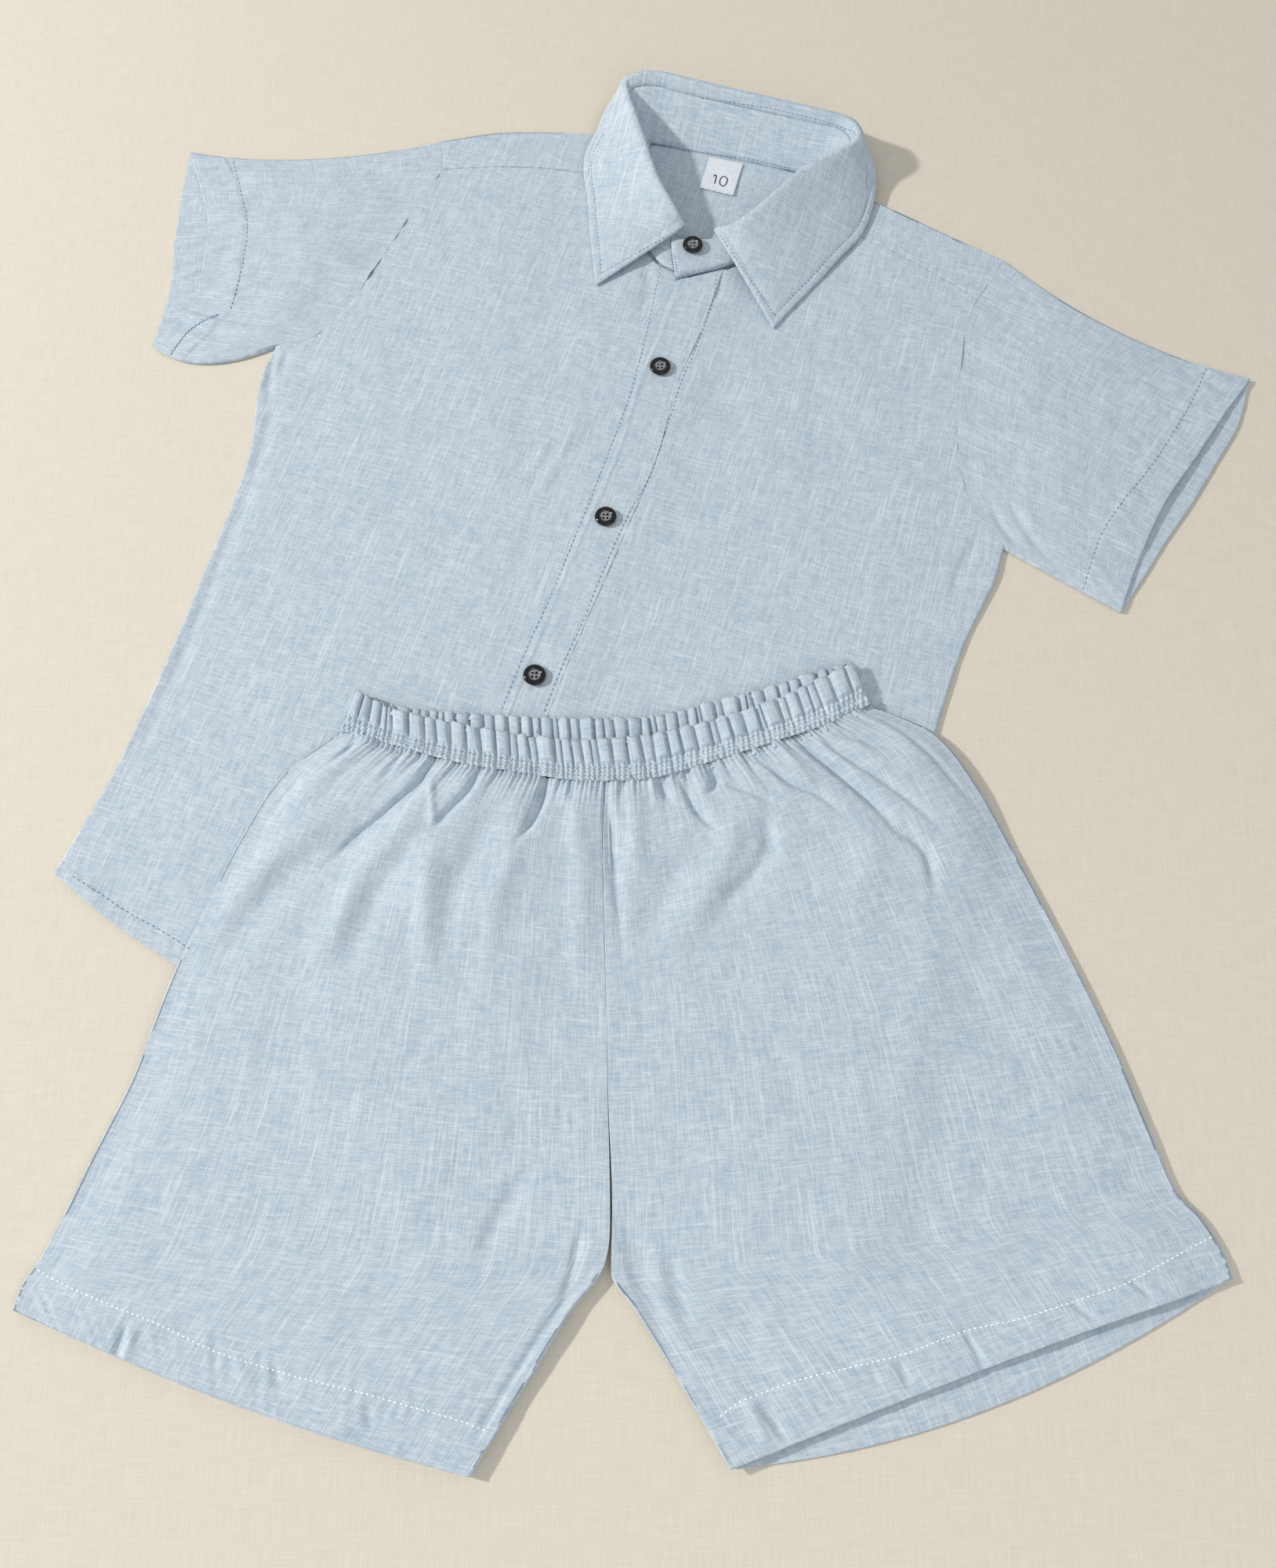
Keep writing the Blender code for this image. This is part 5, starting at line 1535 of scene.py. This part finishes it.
def make_light():
    """A window to the left, near enough to make that side brighter, a weak fill lamp and a pale room."""
    window = bpy.data.lights.new("window", "AREA")
    window.shape = "DISK"
    window.size = WINDOW_ACROSS * MM
    window.energy = WINDOW_STRENGTH * math.pi * (WINDOW_REACH * MM) ** 2
    window.color = WINDOW_COLOUR
    fill = bpy.data.lights.new("fill", "AREA")
    fill.shape = "DISK"
    fill.size = FILL_ACROSS
    fill.energy = FILL_POWER
    window_place = Vector(WINDOW_FROM).normalized() * WINDOW_REACH * MM
    for lamp, place in ((window, window_place), (fill, Vector(FILL_AT))):
        stand = bpy.data.objects.new(lamp.name, lamp)
        stand.location = place
        stand.rotation_euler = place.to_track_quat("Z", "Y").to_euler()
        bpy.context.collection.objects.link(stand)
    world = bpy.data.worlds.new("room")
    world.use_nodes = True
    background = world.node_tree.nodes["Background"]
    background.inputs["Color"].default_value = ROOM_COLOUR
    background.inputs["Strength"].default_value = ROOM_STRENGTH
    bpy.context.scene.world = world


def make_camera():
    """The photo's camera: its place, tilt and lens, with no shift."""
    data = bpy.data.cameras.new("camera")
    data.sensor_width = SENSOR
    data.lens = SENSOR * PHOTO_FOCUS / PHOTO_LONG_SIDE
    camera = bpy.data.objects.new("camera", data)
    camera.location = camera_place()
    camera.rotation_euler = (CAMERA_TILT, 0.0, 0.0)
    bpy.context.collection.objects.link(camera)
    bpy.context.scene.camera = camera
    bpy.context.scene.view_settings.view_transform = "Standard"


def main():
    """Dress every solid, lay the stitches on the cloth, and set the stage."""
    cloth = slub_cloth("light_blue_cloth", 1)
    satin = satin_cloth()
    glossy = button_material()
    fronts = make_fronts(cloth)
    placket = make_placket(cloth)
    back = make_back(cloth)
    yoke = make_yoke(cloth)
    sleeves = make_sleeves(cloth)
    collar = [make_stand(cloth), make_fall(cloth)]
    label = make_label(satin)
    make_buttons(glossy)
    cloths = fronts + [placket, back, yoke] + sleeves + collar + make_shorts(cloth)
    make_stitches(surface_of(cloths + [label]))
    make_floor()
    make_light()
    make_camera()


main()
